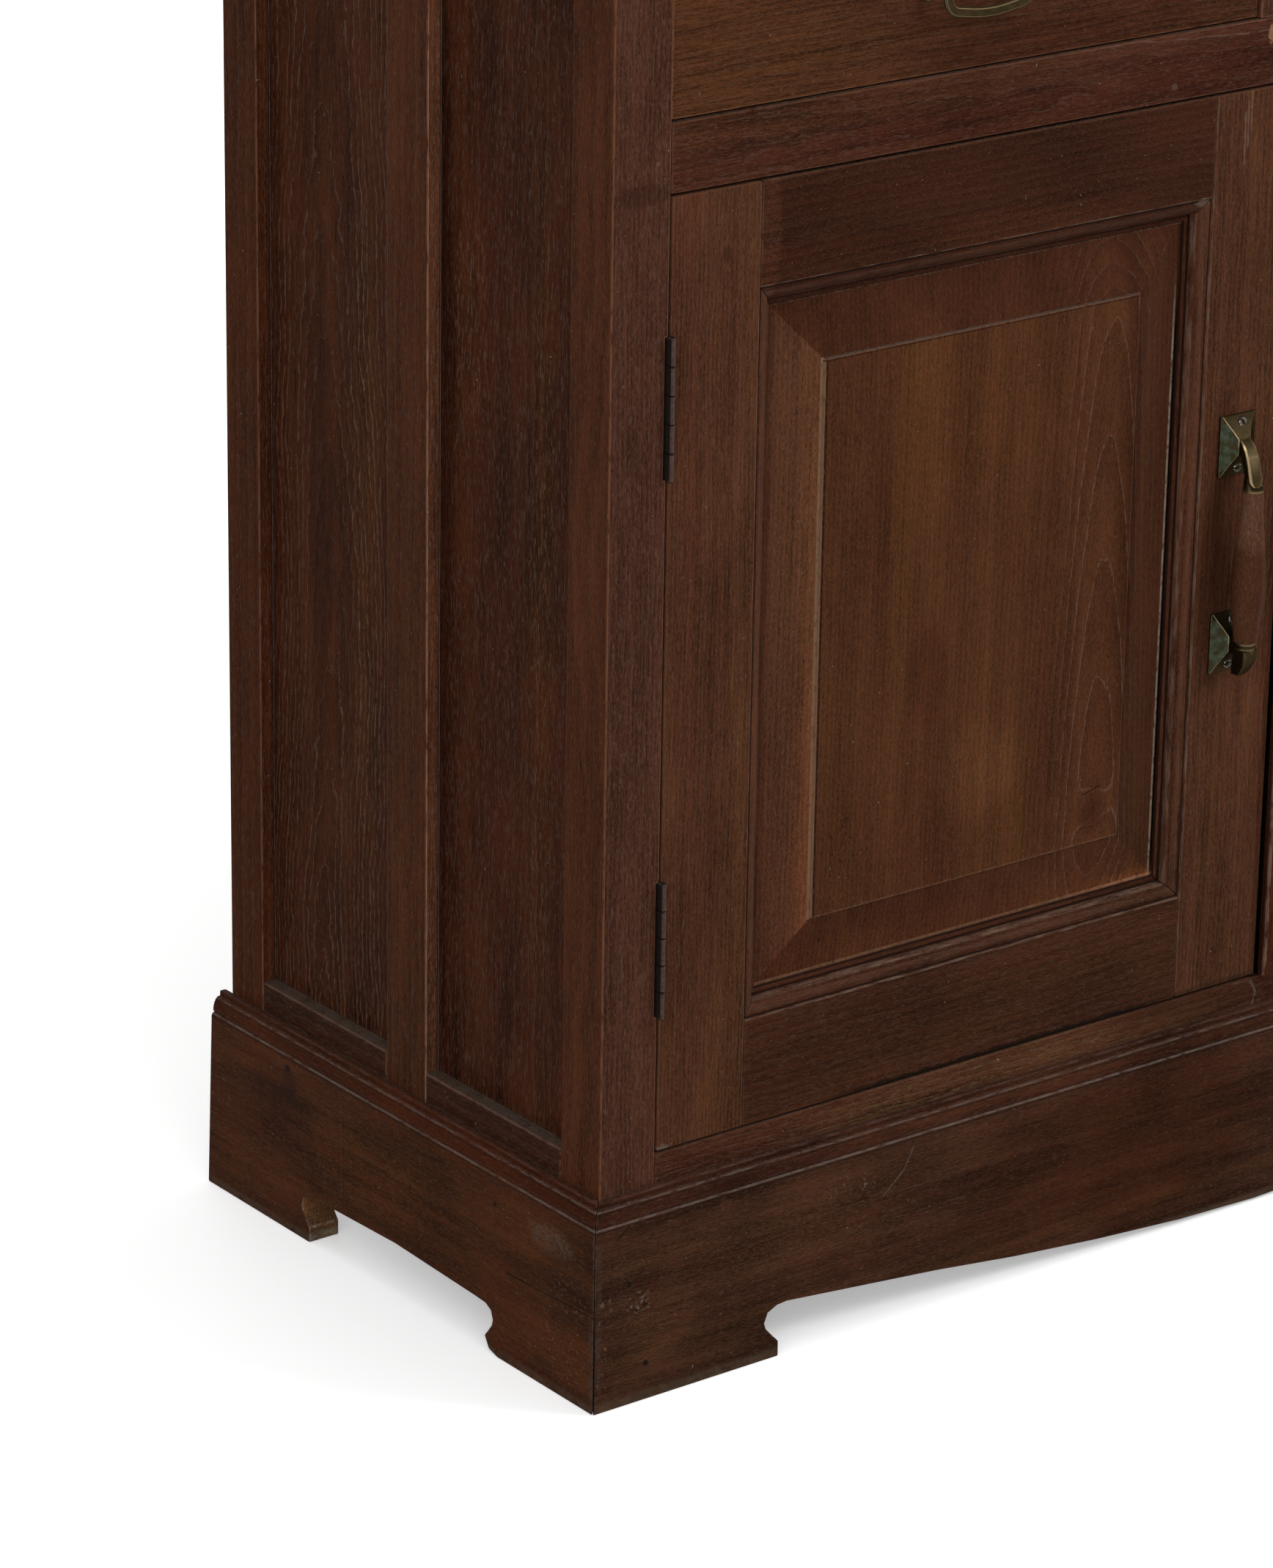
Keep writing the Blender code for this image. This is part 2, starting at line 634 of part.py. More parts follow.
def make_shelf():
    heights = (SHELF_Z, SHELF_Z + SHELF_THICKNESS)
    piece("shelf", notched_board(SHELF_SETBACK, heights, FRAME_THICKNESS + FIT, True), "inner_teak")


def make_dust_board():
    """The board the drawers run on, with the guide strip between them."""
    heights = (DRAWER_FLOOR_Z - DUST_BOARD_THICKNESS, DRAWER_FLOOR_Z)
    front = FRAME_THICKNESS - BOARD_REST + FIT
    shape = notched_board(front, heights, FRAME_THICKNESS + FIT, True)
    guide = middle_block((-DIVIDER_WIDTH / 2, DIVIDER_WIDTH / 2), (FRAME_THICKNESS + FIT, BACK_FACE - FIT),
                         (DRAWER_FLOOR_Z - DUST_BOARD_THICKNESS / 2, DRAWER_FLOOR_Z + GUIDE_HEIGHT))
    piece("dust_board", shape, "inner_teak", joins=[guide])


def make_back_panel():
    """The back: boards edge to edge, with a groove at each meeting."""
    half = BODY_WIDTH / 2 - POST_WIDTH + BACK_LAP - FIT
    heights = (BASE_Z, CARCASE_TOP_Z - FIT)
    shape = middle_block((-half, half), (BACK_FACE, BODY_DEPTH), heights)
    cuts = []
    for i in range(1, BACK_BOARD_COUNT):
        across = -half + 2 * half * i / BACK_BOARD_COUNT
        outline = [(across - BACK_GROOVE_WIDTH / 2, FRONT_Y + BODY_DEPTH + OVERRUN / 4, 0),
                   (across, FRONT_Y + BODY_DEPTH - BACK_GROOVE_DEPTH, 0),
                   (across + BACK_GROOVE_WIDTH / 2, FRONT_Y + BODY_DEPTH + OVERRUN / 4, 0)]
        start = Vector((0, 0, heights[0] - OVERRUN))
        cuts.append(swept(outline, start, Vector((0, 0, heights[1] - heights[0] + 2 * OVERRUN))))
    piece("back_panel", shape, "inner_teak", cuts=cuts)


def make_top_board():
    """The top, with a rounded edge over a small step along the front and both ends."""
    low = CARCASE_TOP_Z
    high = low + TOP_THICKNESS
    radius = TOP_THICKNESS / 2
    step = radius / 4
    profile = [(radius / 2 + step, low), (radius / 2 + step, low + step)]
    middle = (low + step + high) / 2
    for i in range(-ARC_STEPS, ARC_STEPS + 1):
        angle = math.pi / 2 * i / ARC_STEPS
        profile.append((radius * (1 - math.cos(angle)) / 2, middle + (high - middle) * math.sin(angle)))
    rings = []
    for drawn_in, height in profile:
        half = BODY_WIDTH / 2 + TOP_OVERHANG - drawn_in
        front = FRONT_Y - TOP_OVERHANG + drawn_in
        back = FRONT_Y + BODY_DEPTH + REAR_OVERHANG
        plan = ((-half, front), (half, front), (half, back), (-half, back))
        rings.append([(x, y, height) for x, y in plan])
    piece("top_board", solid(rings), "frame_teak")


# Plinth


def plinth_profile():
    """The section of a plinth board: pairs of reach outside the body and height, going round."""
    inner = PLINTH_REACH - PLINTH_THICKNESS
    top = PLINTH_HEIGHT + MOULDING_HEIGHT
    points = [(inner, 0), (PLINTH_REACH, 0), (PLINTH_REACH, PLINTH_HEIGHT - PLINTH_EDGE_ROUND)]
    points.append((PLINTH_REACH - PLINTH_EDGE_ROUND / 3, PLINTH_HEIGHT - PLINTH_EDGE_ROUND / 3))
    points.append((PLINTH_REACH - PLINTH_EDGE_ROUND, PLINTH_HEIGHT))
    points.append((PLINTH_REACH - PLINTH_EDGE_ROUND / 2, PLINTH_HEIGHT + MOULDING_QUIRK))
    width = PLINTH_REACH - PLINTH_EDGE_ROUND / 2 - MOULDING_LEDGE - MOULDING_STEP
    rise = MOULDING_HEIGHT - MOULDING_BAND - MOULDING_QUIRK
    for i in range(1, ARC_STEPS + 1):
        angle = math.pi / 2 * i / ARC_STEPS
        points.append((MOULDING_LEDGE + MOULDING_STEP + width * math.cos(angle),
                       PLINTH_HEIGHT + MOULDING_QUIRK + rise * math.sin(angle)))
    points.append((MOULDING_LEDGE, top - MOULDING_BAND))
    points.append((MOULDING_LEDGE, top - MOULDING_STEP))
    points.append((MOULDING_LEDGE - MOULDING_STEP, top))
    points.append((FIT, top))
    points.append((FIT, PLINTH_HEIGHT))
    points.append((inner, PLINTH_HEIGHT))
    return points


def foot_notch(reach, rise):
    """From the toe of a foot up and over to the apron: pairs of way outward and height."""
    points = [(0, FOOT_TOE_HEIGHT)]
    for out, up in zip(NOTCH_OUT_SHARES, NOTCH_UP_SHARES):
        points.append((-reach * out, FOOT_TOE_HEIGHT + (rise - FOOT_TOE_HEIGHT) * up))
    return points


def front_apron_cut():
    """The space under the front apron between the two front feet."""
    foot = BODY_WIDTH / 2 + PLINTH_REACH - FRONT_FOOT_LENGTH
    half = [(foot, -OVERRUN)]
    half += [(foot - way, height) for way, height in foot_notch(FRONT_NOTCH_REACH, APRON_CLEARANCE)]
    start = foot - FRONT_NOTCH_REACH / 2
    for way, share in zip(APRON_WAY_SHARES, APRON_HEIGHT_SHARES):
        height = CENTRE_CLEARANCE + (APRON_CLEARANCE - CENTRE_CLEARANCE) * share
        half.append((start * (1 - way), height))
    mirrored = [(-across, height) for across, height in reversed(half[:-1])]
    front = FRONT_Y - PLINTH_REACH - OVERRUN
    outline = [(across, front, height) for across, height in half + mirrored]
    return swept(outline, Vector(), Vector((0, PLINTH_THICKNESS + 2 * OVERRUN, 0)))


def side_apron_cut(side):
    """The space under a side apron, between the front foot and the rear foot."""
    front = SIDE_FOOT_LENGTH - PLINTH_REACH
    rear = BODY_DEPTH + REAR_OVERHANG - REAR_FOOT_LENGTH
    low = APRON_CLEARANCE - SIDE_APRON_DIP
    notch = foot_notch(SIDE_NOTCH_REACH, low)
    points = [(front - WORN_TOE_LENGTH, -OVERRUN), (front - WORN_TOE_LENGTH, 0)]
    points.append((front - WORN_TOE_LENGTH / 3, FOOT_TOE_HEIGHT / 4))
    points += [(front + way, height) for way, height in notch]
    points.append((front + SIDE_NOTCH_REACH, low))
    points.append(((front + rear) / 2, APRON_CLEARANCE))
    points.append((rear - SIDE_NOTCH_REACH, low))
    points += [(rear - way, height) for way, height in reversed(notch)]
    points.append((rear, -OVERRUN))
    inset = -PLINTH_REACH - OVERRUN
    outline = [from_side(side, inset, depth, height) for depth, height in points]
    return swept(outline, Vector(), Vector((-side * (PLINTH_THICKNESS + 2 * OVERRUN), 0, 0)))


def make_plinth_front():
    first, last = [], []
    for reach, height in plinth_profile():
        half = BODY_WIDTH / 2 + reach
        first.append(from_middle(-half, -reach, height))
        last.append(from_middle(half, -reach, height))
    piece("plinth_front", solid([first, last]), "plinth_teak", cuts=[front_apron_cut()])


def make_plinth_side(side):
    """A side board of the plinth: mitred in front, its rear end leaning out towards the floor."""
    first, last = [], []
    top = PLINTH_HEIGHT + MOULDING_HEIGHT
    for reach, height in plinth_profile():
        lean = PLINTH_REAR_LEAN * (1 - height / top)
        first.append(from_side(side, -reach, -reach + 2 * FIT, height))
        last.append(from_side(side, -reach, BODY_DEPTH + REAR_OVERHANG + lean, height))
    piece("plinth_" + SIDE_NAMES[side], solid([first, last]), "plinth_teak", cuts=[side_apron_cut(side)])


# Doors


DOOR_TOP_FLAT = DOOR_HIGH_Z - DOOR_TOP_RAIL_WIDTH
DOOR_BOTTOM_FLAT = DOOR_LOW_Z + DOOR_BOTTOM_RAIL_WIDTH
TONGUE_SPAN = (DOOR_TONGUE_DEPTH, DOOR_TONGUE_DEPTH + DOOR_TONGUE_THICKNESS)
DOOR_TENON_SPAN = (DOOR_THICKNESS / 2 - TENON_THICKNESS / 2, DOOR_THICKNESS / 2 + TENON_THICKNESS / 2)
PANEL_LOW_Z = DOOR_BOTTOM_FLAT + DOOR_MOULDING_WIDTH
PANEL_HIGH_Z = DOOR_TOP_FLAT - DOOR_MOULDING_WIDTH


def moulding_profile():
    """The worked inner edge of a door member: pairs of way past the flat and depth, front to back."""
    points = [(0, 0), (0, DOOR_MOULDING_STEP), (DOOR_MOULDING_LAND, DOOR_MOULDING_STEP)]
    for i in range(1, ARC_STEPS + 1):
        angle = math.pi / 2 * i / ARC_STEPS
        points.append((DOOR_MOULDING_LAND + DOOR_OVOLO_WIDTH * math.sin(angle),
                       DOOR_MOULDING_STEP + DOOR_OVOLO_DROP * (1 - math.cos(angle))))
    edge = DOOR_MOULDING_LAND + DOOR_OVOLO_WIDTH
    points.append((edge, DOOR_MOULDING_DEPTH - DOOR_MOULDING_STEP / 2))
    points.append((edge + DOOR_MOULDING_LAND, DOOR_MOULDING_DEPTH - DOOR_MOULDING_STEP / 2))
    points.append((edge + DOOR_MOULDING_LAND, DOOR_MOULDING_DEPTH))
    points.append((DOOR_MOULDING_WIDTH, DOOR_MOULDING_DEPTH))
    points.append((DOOR_MOULDING_WIDTH, DOOR_THICKNESS))
    points.append((0, DOOR_THICKNESS))
    return points


def door_point(side, across, depth, height):
    """A point on a door: across runs from its hinge edge to its meeting edge."""
    return from_side(side, HINGE_EDGE + across, depth, height)


def door_block(side, across, depths, heights):
    return side_block(side, (HINGE_EDGE + across[0], HINGE_EDGE + across[1]), depths, heights)


def stile_span(which):
    """The flat edge of a stile, and the way its moulding goes from there."""
    if which == "hinge":
        return HINGE_STILE_WIDTH, 1
    return DOOR_WIDTH - MEETING_STILE_WIDTH, -1


def mitre_cut(side, which, end):
    """What comes off a stile's moulding beyond the mitre, at its top or bottom end."""
    edge, way = stile_span(which)
    if end == "top":
        corner, beyond, turn = DOOR_TOP_FLAT, DOOR_HIGH_Z + OVERRUN, -1
    else:
        corner, beyond, turn = DOOR_BOTTOM_FLAT, DOOR_LOW_Z - OVERRUN, 1
    reach = DOOR_MOULDING_WIDTH + OVERRUN
    far = edge + way * reach
    outline = [(edge, corner), (far, corner + turn * reach), (far, beyond), (edge, beyond)]
    points = [door_point(side, across, -OVERRUN, height) for across, height in outline]
    return swept(points, Vector(), Vector((0, DOOR_THICKNESS + 2 * OVERRUN, 0)))


def rail_mortises(side, which):
    """The mortises of a stile for both rails."""
    edge, way = stile_span(which)
    across = sorted((edge - way * (DOOR_TENON_LENGTH + FIT), edge + way * OVERRUN))
    cuts = []
    for heights in ((DOOR_LOW_Z, DOOR_BOTTOM_FLAT), (DOOR_TOP_FLAT, DOOR_HIGH_Z)):
        cuts.append(door_block(side, across, grown(DOOR_TENON_SPAN, FIT),
                               grown(grown(heights, -2 * TENON_SHOULDER), FIT)))
    return cuts


def bead_outline():
    """The bead on the meeting edge: pairs of way in from the edge and reach in front."""
    points = [(0, -DOOR_THICKNESS / 4), (0, BEAD_REACH - BEAD_ROUND)]
    points += [(BEAD_ROUND / 3, BEAD_REACH - BEAD_ROUND / 3), (BEAD_ROUND, BEAD_REACH)]
    return points + [(BEAD_WIDTH - across, reach) for across, reach in reversed(points)]


def make_stile(side, which, pivot):
    edge, way = stile_span(which)
    outer = 0 if which == "hinge" else DOOR_WIDTH
    section = [(edge + way * out, depth) for out, depth in moulding_profile()]
    section += [(outer, DOOR_THICKNESS), (outer, 0)]
    points = [door_point(side, across, depth, DOOR_LOW_Z) for across, depth in section]
    shape = swept(points, Vector(), Vector((0, 0, DOOR_HIGH_Z - DOOR_LOW_Z)))
    cuts = [mitre_cut(side, which, "top"), mitre_cut(side, which, "bottom")] + rail_mortises(side, which)
    inner = edge + way * DOOR_MOULDING_WIDTH
    slot = sorted((inner - way * (DOOR_TONGUE + FIT), inner + way * OVERRUN))
    slot_heights = grown((PANEL_LOW_Z, PANEL_HIGH_Z), DOOR_TONGUE + FIT)
    cuts.append(door_block(side, slot, grown(TONGUE_SPAN, FIT), slot_heights))
    joins = []
    if which == "hinge":
        for place in ("top", "bottom"):
            cuts.append(door_block(side, (-OVERRUN, LEAF_THICKNESS + FIT), (-OVERRUN, LEAF_DEPTH + FIT),
                                   grown(leaf_heights(place), FIT)))
    elif side == RIGHT:
        bead = [door_point(side, DOOR_WIDTH - inward, -reach, DOOR_LOW_Z)
                for inward, reach in bead_outline()]
        joins.append(swept(bead, Vector(), Vector((0, 0, DOOR_HIGH_Z - DOOR_LOW_Z))))
    name = "door_" + SIDE_NAMES[side] + "_" + which + "_stile"
    piece(name, shape, "door_teak", joins=joins, cuts=cuts, pivot=pivot)


def make_door_rail(side, which, pivot):
    """A door rail: square shoulders on its flat, mitred ends on its moulding."""
    if which == "top":
        edge, outer, way = DOOR_TOP_FLAT, DOOR_HIGH_Z, -1
    else:
        edge, outer, way = DOOR_BOTTOM_FLAT, DOOR_LOW_Z, 1
    start = HINGE_STILE_WIDTH + FIT
    end = DOOR_WIDTH - MEETING_STILE_WIDTH - FIT
    section = [(out, depth) for out, depth in moulding_profile()]
    heights = [edge + way * out for out, depth in section] + [outer, outer]
    outs = [out for out, depth in section] + [0, 0]
    depths = [depth for out, depth in section] + [DOOR_THICKNESS, 0]
    shape = bmesh.new()
    near = [shape.verts.new(door_point(side, start + o, d, h)) for o, d, h in zip(outs, depths, heights)]
    far = [shape.verts.new(door_point(side, end - o, d, h)) for o, d, h in zip(outs, depths, heights)]
    count = len(near)
    for i in range(count):
        j = (i + 1) % count
        shape.faces.new((near[i], near[j], far[j], far[i]))
    last = len(section) - 1
    for row in (near, far):
        shape.faces.new(row[1:last + 1])
        shape.faces.new([row[0], row[1], row[last]] + row[last + 1:])
    bmesh.ops.recalc_face_normals(shape, faces=shape.faces)
    tenon = door_block(side, (start - DOOR_TENON_LENGTH, end + DOOR_TENON_LENGTH), DOOR_TENON_SPAN,
                       grown(sorted((edge, outer)), -2 * TENON_SHOULDER))
    inner = edge + way * DOOR_MOULDING_WIDTH
    slot = sorted((inner - way * (DOOR_TONGUE + FIT), inner + way * OVERRUN))
    groove = door_block(side, (start - OVERRUN, end + OVERRUN), grown(TONGUE_SPAN, FIT), slot)
    name = "door_" + SIDE_NAMES[side] + "_" + which + "_rail"
    piece(name, shape, "door_teak", joins=[tenon], cuts=[groove], pivot=pivot)


def make_door_panel(side, pivot):
    """The raised panel: a tongue all round, a wide bevel, a small step and a flat field."""
    low = HINGE_STILE_WIDTH + DOOR_MOULDING_WIDTH
    high = DOOR_WIDTH - MEETING_STILE_WIDTH - DOOR_MOULDING_WIDTH
    levels = [(DOOR_TONGUE, TONGUE_SPAN[1]), (DOOR_TONGUE, TONGUE_SPAN[0]), (0, TONGUE_SPAN[0]),
              (-PANEL_BEVEL_WIDTH, FIELD_DEPTH + FIELD_STEP), (-PANEL_BEVEL_WIDTH, FIELD_DEPTH)]
    rings = []
    for out, depth in levels:
        corners = [(low - out, PANEL_LOW_Z - out), (high + out, PANEL_LOW_Z - out),
                   (high + out, PANEL_HIGH_Z + out), (low - out, PANEL_HIGH_Z + out)]
        rings.append([door_point(side, across, depth, height) for across, height in corners])
    piece("door_" + SIDE_NAMES[side] + "_panel", solid(rings), "panel_teak", pivot=pivot)


# Butt hinges


def knuckle_heights(place, index, clearance):
    """The heights of one knuckle, drawn in by a clearance at both ends."""
    low, high = leaf_heights(place)
    pitch = (high - low) / HINGE_KNUCKLES
    return (low + pitch * index + clearance, low + pitch * (index + 1) - clearance)


def hinge_rod(side, heights, radius, sides=SMALL_ROUND_SIDES):
    """A round piece on a hinge's axis."""
    inset = POST_WIDTH + DOOR_GAP / 2
    return rod(from_side(side, inset, -BARREL_STANDOFF, heights[0]),
               from_side(side, inset, -BARREL_STANDOFF, heights[1]), radius, sides)


def make_post_leaf(side, place):
    """The leaf on the post, with the outer and middle knuckles and the pin."""
    shape = side_block(side, (POST_WIDTH - LEAF_THICKNESS, POST_WIDTH), (-BARREL_STANDOFF, LEAF_DEPTH),
                       leaf_heights(place))
    item_cuts = [hinge_rod(side, knuckle_heights(place, i, -FIT), BARREL_RADIUS + FIT, ROUND_SIDES)
                 for i in range(1, HINGE_KNUCKLES, 2)]
    name = "hinge_" + SIDE_NAMES[side] + "_" + place + "_post_leaf"
    item = mesh_object(name + "_plate", shape)
    for other in item_cuts:
        combine(item, other, "DIFFERENCE")
    plate = bmesh.new()
    plate.from_mesh(item.data)
    bpy.data.objects.remove(item, do_unlink=True)
    joins = [hinge_rod(side, knuckle_heights(place, i, FIT / 2), BARREL_RADIUS)
             for i in range(0, HINGE_KNUCKLES, 2)]
    low, high = leaf_heights(place)
    joins.append(hinge_rod(side, (low + FINIAL_LENGTH, high - FINIAL_LENGTH), PIN_RADIUS))
    joins.append(hinge_rod(side, (high - FINIAL_LENGTH, high + FINIAL_LENGTH), FINIAL_RADIUS))
    joins.append(hinge_rod(side, (low - FINIAL_LENGTH, low + FINIAL_LENGTH), FINIAL_RADIUS))
    piece(name, plate, "dark_steel", joins=joins)


def make_door_leaf(side, place, pivot):
    """The leaf on the door, with two bored knuckles round the pin."""
    shape = side_block(side, (HINGE_EDGE, HINGE_EDGE + LEAF_THICKNESS), (-BARREL_STANDOFF, LEAF_DEPTH),
                       leaf_heights(place))
    joins = [hinge_rod(side, knuckle_heights(place, i, FIT / 2), BARREL_RADIUS)
             for i in range(1, HINGE_KNUCKLES, 2)]
    cuts = []
    for i in range(0, HINGE_KNUCKLES, 2):
        low, high = knuckle_heights(place, i, -FIT / 2)
        if i == 0:
            low -= OVERRUN
        if i == HINGE_KNUCKLES - 1:
            high += OVERRUN
        cuts.append(hinge_rod(side, (low, high), BARREL_RADIUS + FIT, ROUND_SIDES))
    cuts.append(hinge_rod(side, grown(leaf_heights(place), OVERRUN), PIN_RADIUS + FIT))
    name = "hinge_" + SIDE_NAMES[side] + "_" + place + "_door_leaf"
    piece(name, shape, "dark_steel", joins=joins, cuts=cuts, pivot=pivot)


# Door pulls


def pull_point(side, across, reach, height):
    """A point of a pull: across from its middle, reach in front of the door's face."""
    return door_point(side, DOOR_WIDTH - PULL_FROM_EDGE + across, -reach, height)


def rectangle(side, width, height, middle, reach):
    """A rectangle's four corners round a pull's centre line."""
    corners = ((-0.5, -0.5), (0.5, -0.5), (0.5, 0.5), (-0.5, 0.5))
    return [pull_point(side, a * width, reach, middle + b * height) for a, b in corners]


def arm(side, controls):
    """A flat arm along a smooth bend: four pairs of reach and height steer it."""
    start, first, second, end = (Vector(pair) for pair in controls)
    rings = []
    steps = 2 * ARC_STEPS
    for i in range(steps + 1):
        t = i / steps
        u = 1 - t
        centre = start * u ** 3 + first * 3 * u * u * t + second * 3 * u * t * t + end * t ** 3
        along = (first - start) * u * u + (second - first) * 2 * u * t + (end - second) * t * t
        along.normalize()
        width = ARM_ROOT_WIDTH + (ARM_TONGUE_WIDTH - ARM_ROOT_WIDTH) * t
        ring = []
        for wide, thick in STRAP_SHARES:
            off = thick * ARM_THICKNESS / 2
            reach, height = centre.x - along.y * off, centre.y + along.x * off
            ring.append(pull_point(side, wide * width / 2, reach, height))
        rings.append(ring)
    return solid(rings)


def bracket_places(which):
    """The middle of a bracket's plate, the heights of its ferrule and the controls of its arm."""
    front = PULL_STANDOFF + ARM_THICKNESS / 4
    root = BOSS_REACH - ARM_THICKNESS / 2
    if which == "upper":
        middle = PULL_UPPER_HEIGHT
        ferrule = (GRIP_TOP_HEIGHT, GRIP_TOP_HEIGHT + FERRULE_HEIGHT)
        rise = middle + ARM_RISE
        controls = ((root, middle), (PULL_STANDOFF * 2 / 3, rise), (front, rise), (front, ferrule[0] + FIT))
    else:
        middle = PULL_LOWER_HEIGHT
        ferrule = (GRIP_BOTTOM_HEIGHT - FERRULE_HEIGHT, GRIP_BOTTOM_HEIGHT)
        low = middle - PLATE_HEIGHT / 2 + ARM_THICKNESS / 2 + FIT
        foot = (PLATE_THICKNESS / 2 + FIT, low)
        controls = (foot, (PULL_STANDOFF * 2 / 3, low), (front, low - ARM_DIP), (front, ferrule[1] - FIT))
    return middle, ferrule, controls


def make_bracket(side, which, pivot):
    """A pull bracket: a plate with a hipped boss, an arm and the ferrule that holds the grip."""
    middle, ferrule, controls = bracket_places(which)
    plate = [rectangle(side, PLATE_WIDTH, PLATE_HEIGHT, middle, FIT),
             rectangle(side, PLATE_WIDTH, PLATE_HEIGHT, middle, PLATE_THICKNESS),
             rectangle(side, BOSS_WIDTH, BOSS_HEIGHT, middle, BOSS_REACH)]
    axis = pull_point(side, 0, PULL_STANDOFF, 0)
    rim = FERRULE_HEIGHT / 5
    cup = turned(axis, [(FERRULE_RADIUS - rim, ferrule[0]), (FERRULE_RADIUS, ferrule[0] + rim),
                        (FERRULE_RADIUS, ferrule[1] - rim), (FERRULE_RADIUS - rim, ferrule[1])], ROUND_SIDES)
    if which == "upper":
        socket = (ferrule[0] - OVERRUN, ferrule[0] + SOCKET_DEPTH + FIT)
    else:
        socket = (ferrule[1] - SOCKET_DEPTH - FIT, ferrule[1] + OVERRUN)
    hole = turned(axis, [(SOCKET_RADIUS, socket[0]), (SOCKET_RADIUS, socket[1])], ROUND_SIDES)
    name = "pull_" + SIDE_NAMES[side] + "_" + which + "_bracket"
    piece(name, solid(plate), "aged_brass", joins=[arm(side, controls), cup], cuts=[hole], pivot=pivot,
          smooth=True)


def make_grip(side, pivot):
    """The turned grip, with a small tenon at each end in the ferrules."""
    low, high = GRIP_BOTTOM_HEIGHT + FIT, GRIP_TOP_HEIGHT - FIT
    length = high - low
    tenon = SOCKET_RADIUS - FIT
    profile = [(tenon, high + SOCKET_DEPTH), (tenon, high)]
    swell = GRIP_BELLY_RADIUS - GRIP_TOP_RADIUS
    for way, share in GRIP_UPPER_SHARES:
        profile.append((GRIP_TOP_RADIUS + swell * share, high - length * way))
    for way, share in GRIP_LOWER_SHARES:
        radius = GRIP_BELLY_RADIUS + (GRIP_FOOT_RADIUS - GRIP_BELLY_RADIUS) * share
        profile.append((radius, high - length * way))
    profile += [(tenon, low), (tenon, low - SOCKET_DEPTH)]
    profile.reverse()
    axis = pull_point(side, 0, PULL_STANDOFF, 0)
    piece("pull_" + SIDE_NAMES[side] + "_grip", turned(axis, profile, ROUND_SIDES), "grip_teak", pivot=pivot,
          smooth=True)


# Drawers


def make_drawer_front(side, pivot):
    insets = (DRAWER_OUTER, DRAWER_INNER)
    heights = grown((DRAWER_FLOOR_Z, DRAWER_TOP_Z), -DRAWER_GAP)
    shape = side_block(side, insets, (DRAWER_SETBACK, DRAWER_FRONT_BACK), heights)
    back = (DRAWER_LAP - FIT, DRAWER_FRONT_BACK + OVERRUN)
    lap = DRAWER_SIDE_THICKNESS + FIT
    full = grown(heights, OVERRUN)
    cuts = [side_block(side, (insets[0] - OVERRUN, insets[0] + lap), back, full),
            side_block(side, (insets[1] - lap, insets[1] + OVERRUN), back, full)]
    slot = (DRAWER_FRONT_BACK - DRAWER_BOTTOM_TONGUE - FIT, DRAWER_FRONT_BACK + OVERRUN)
    cuts.append(side_block(side, grown(insets, OVERRUN), slot, grown(drawer_bottom_heights(), FIT)))
    piece("drawer_" + SIDE_NAMES[side] + "_front", shape, "drawer_teak", cuts=cuts, pivot=pivot)


def drawer_bottom_heights():
    low = DRAWER_FLOOR_Z + FIT + DRAWER_BOTTOM_LIFT
    return (low, low + DRAWER_BOTTOM_THICKNESS)


def make_drawer_box(side, pivot):
    """The two sides and the back, lapped behind the front and grooved for the bottom."""
    low = DRAWER_FLOOR_Z + FIT
    high = low + DRAWER_SIDE_HEIGHT
    outer, inner = DRAWER_OUTER, DRAWER_INNER
    wall = DRAWER_SIDE_THICKNESS
    end = DRAWER_BOX_END
    plan = [(outer, DRAWER_LAP), (outer + wall, DRAWER_LAP), (outer + wall, end - wall)]
    plan += [(inner - wall, end - wall), (inner - wall, DRAWER_LAP), (inner, DRAWER_LAP)]
    plan += [(inner, end), (outer, end)]
    points = [from_side(side, inset, depth, low) for inset, depth in plan]
    shape = swept(points, Vector(), Vector((0, 0, high - low)))
    bottom = grown(drawer_bottom_heights(), FIT)
    tongue = DRAWER_BOTTOM_TONGUE + FIT
    cuts = [side_block(side, (outer + wall - tongue, inner - wall + tongue),
                       (DRAWER_LAP - OVERRUN, end + OVERRUN), bottom),
            side_block(side, (outer + wall, inner - wall), (end - wall - OVERRUN, end + OVERRUN),
                       (low - OVERRUN, bottom[1]))]
    piece("drawer_" + SIDE_NAMES[side] + "_box", shape, "inner_teak", cuts=cuts, pivot=pivot)


def make_drawer_bottom(side, pivot):
    walls = DRAWER_SIDE_THICKNESS - DRAWER_BOTTOM_TONGUE
    insets = (DRAWER_OUTER + walls, DRAWER_INNER - walls)
    depths = (DRAWER_FRONT_BACK - DRAWER_BOTTOM_TONGUE, DRAWER_BOX_END)
    shape = side_block(side, insets, depths, drawer_bottom_heights())
    piece("drawer_" + SIDE_NAMES[side] + "_bottom", shape, "inner_teak", pivot=pivot)


# Drawer handles


def handle_point(side, across, reach, height):
    """A point of a drawer handle, from the middle of its pivots."""
    return from_side(side, HANDLE_INSET + across, DRAWER_SETBACK - reach, DRAWER_MIDDLE_Z + height)


def lobe(side, across):
    """A pointed oval plate behind one post."""
    rings = []
    count = 2 * ROUND_SIDES
    half = BACKPLATE_THICKNESS / 2
    for reach, drawn_in in ((FIT, 0), (half, 0), (BACKPLATE_THICKNESS, half)):
        ring = []
        for i in range(count):
            angle = math.tau * i / count
            wide = math.copysign(abs(math.cos(angle)) ** 1.4, math.cos(angle))
            ring.append(handle_point(side, across + wide * (LOBE_HALF_WIDTH - drawn_in), reach,
                                     math.sin(angle) * (LOBE_HALF_HEIGHT - drawn_in)))
        rings.append(ring)
    return solid(rings)


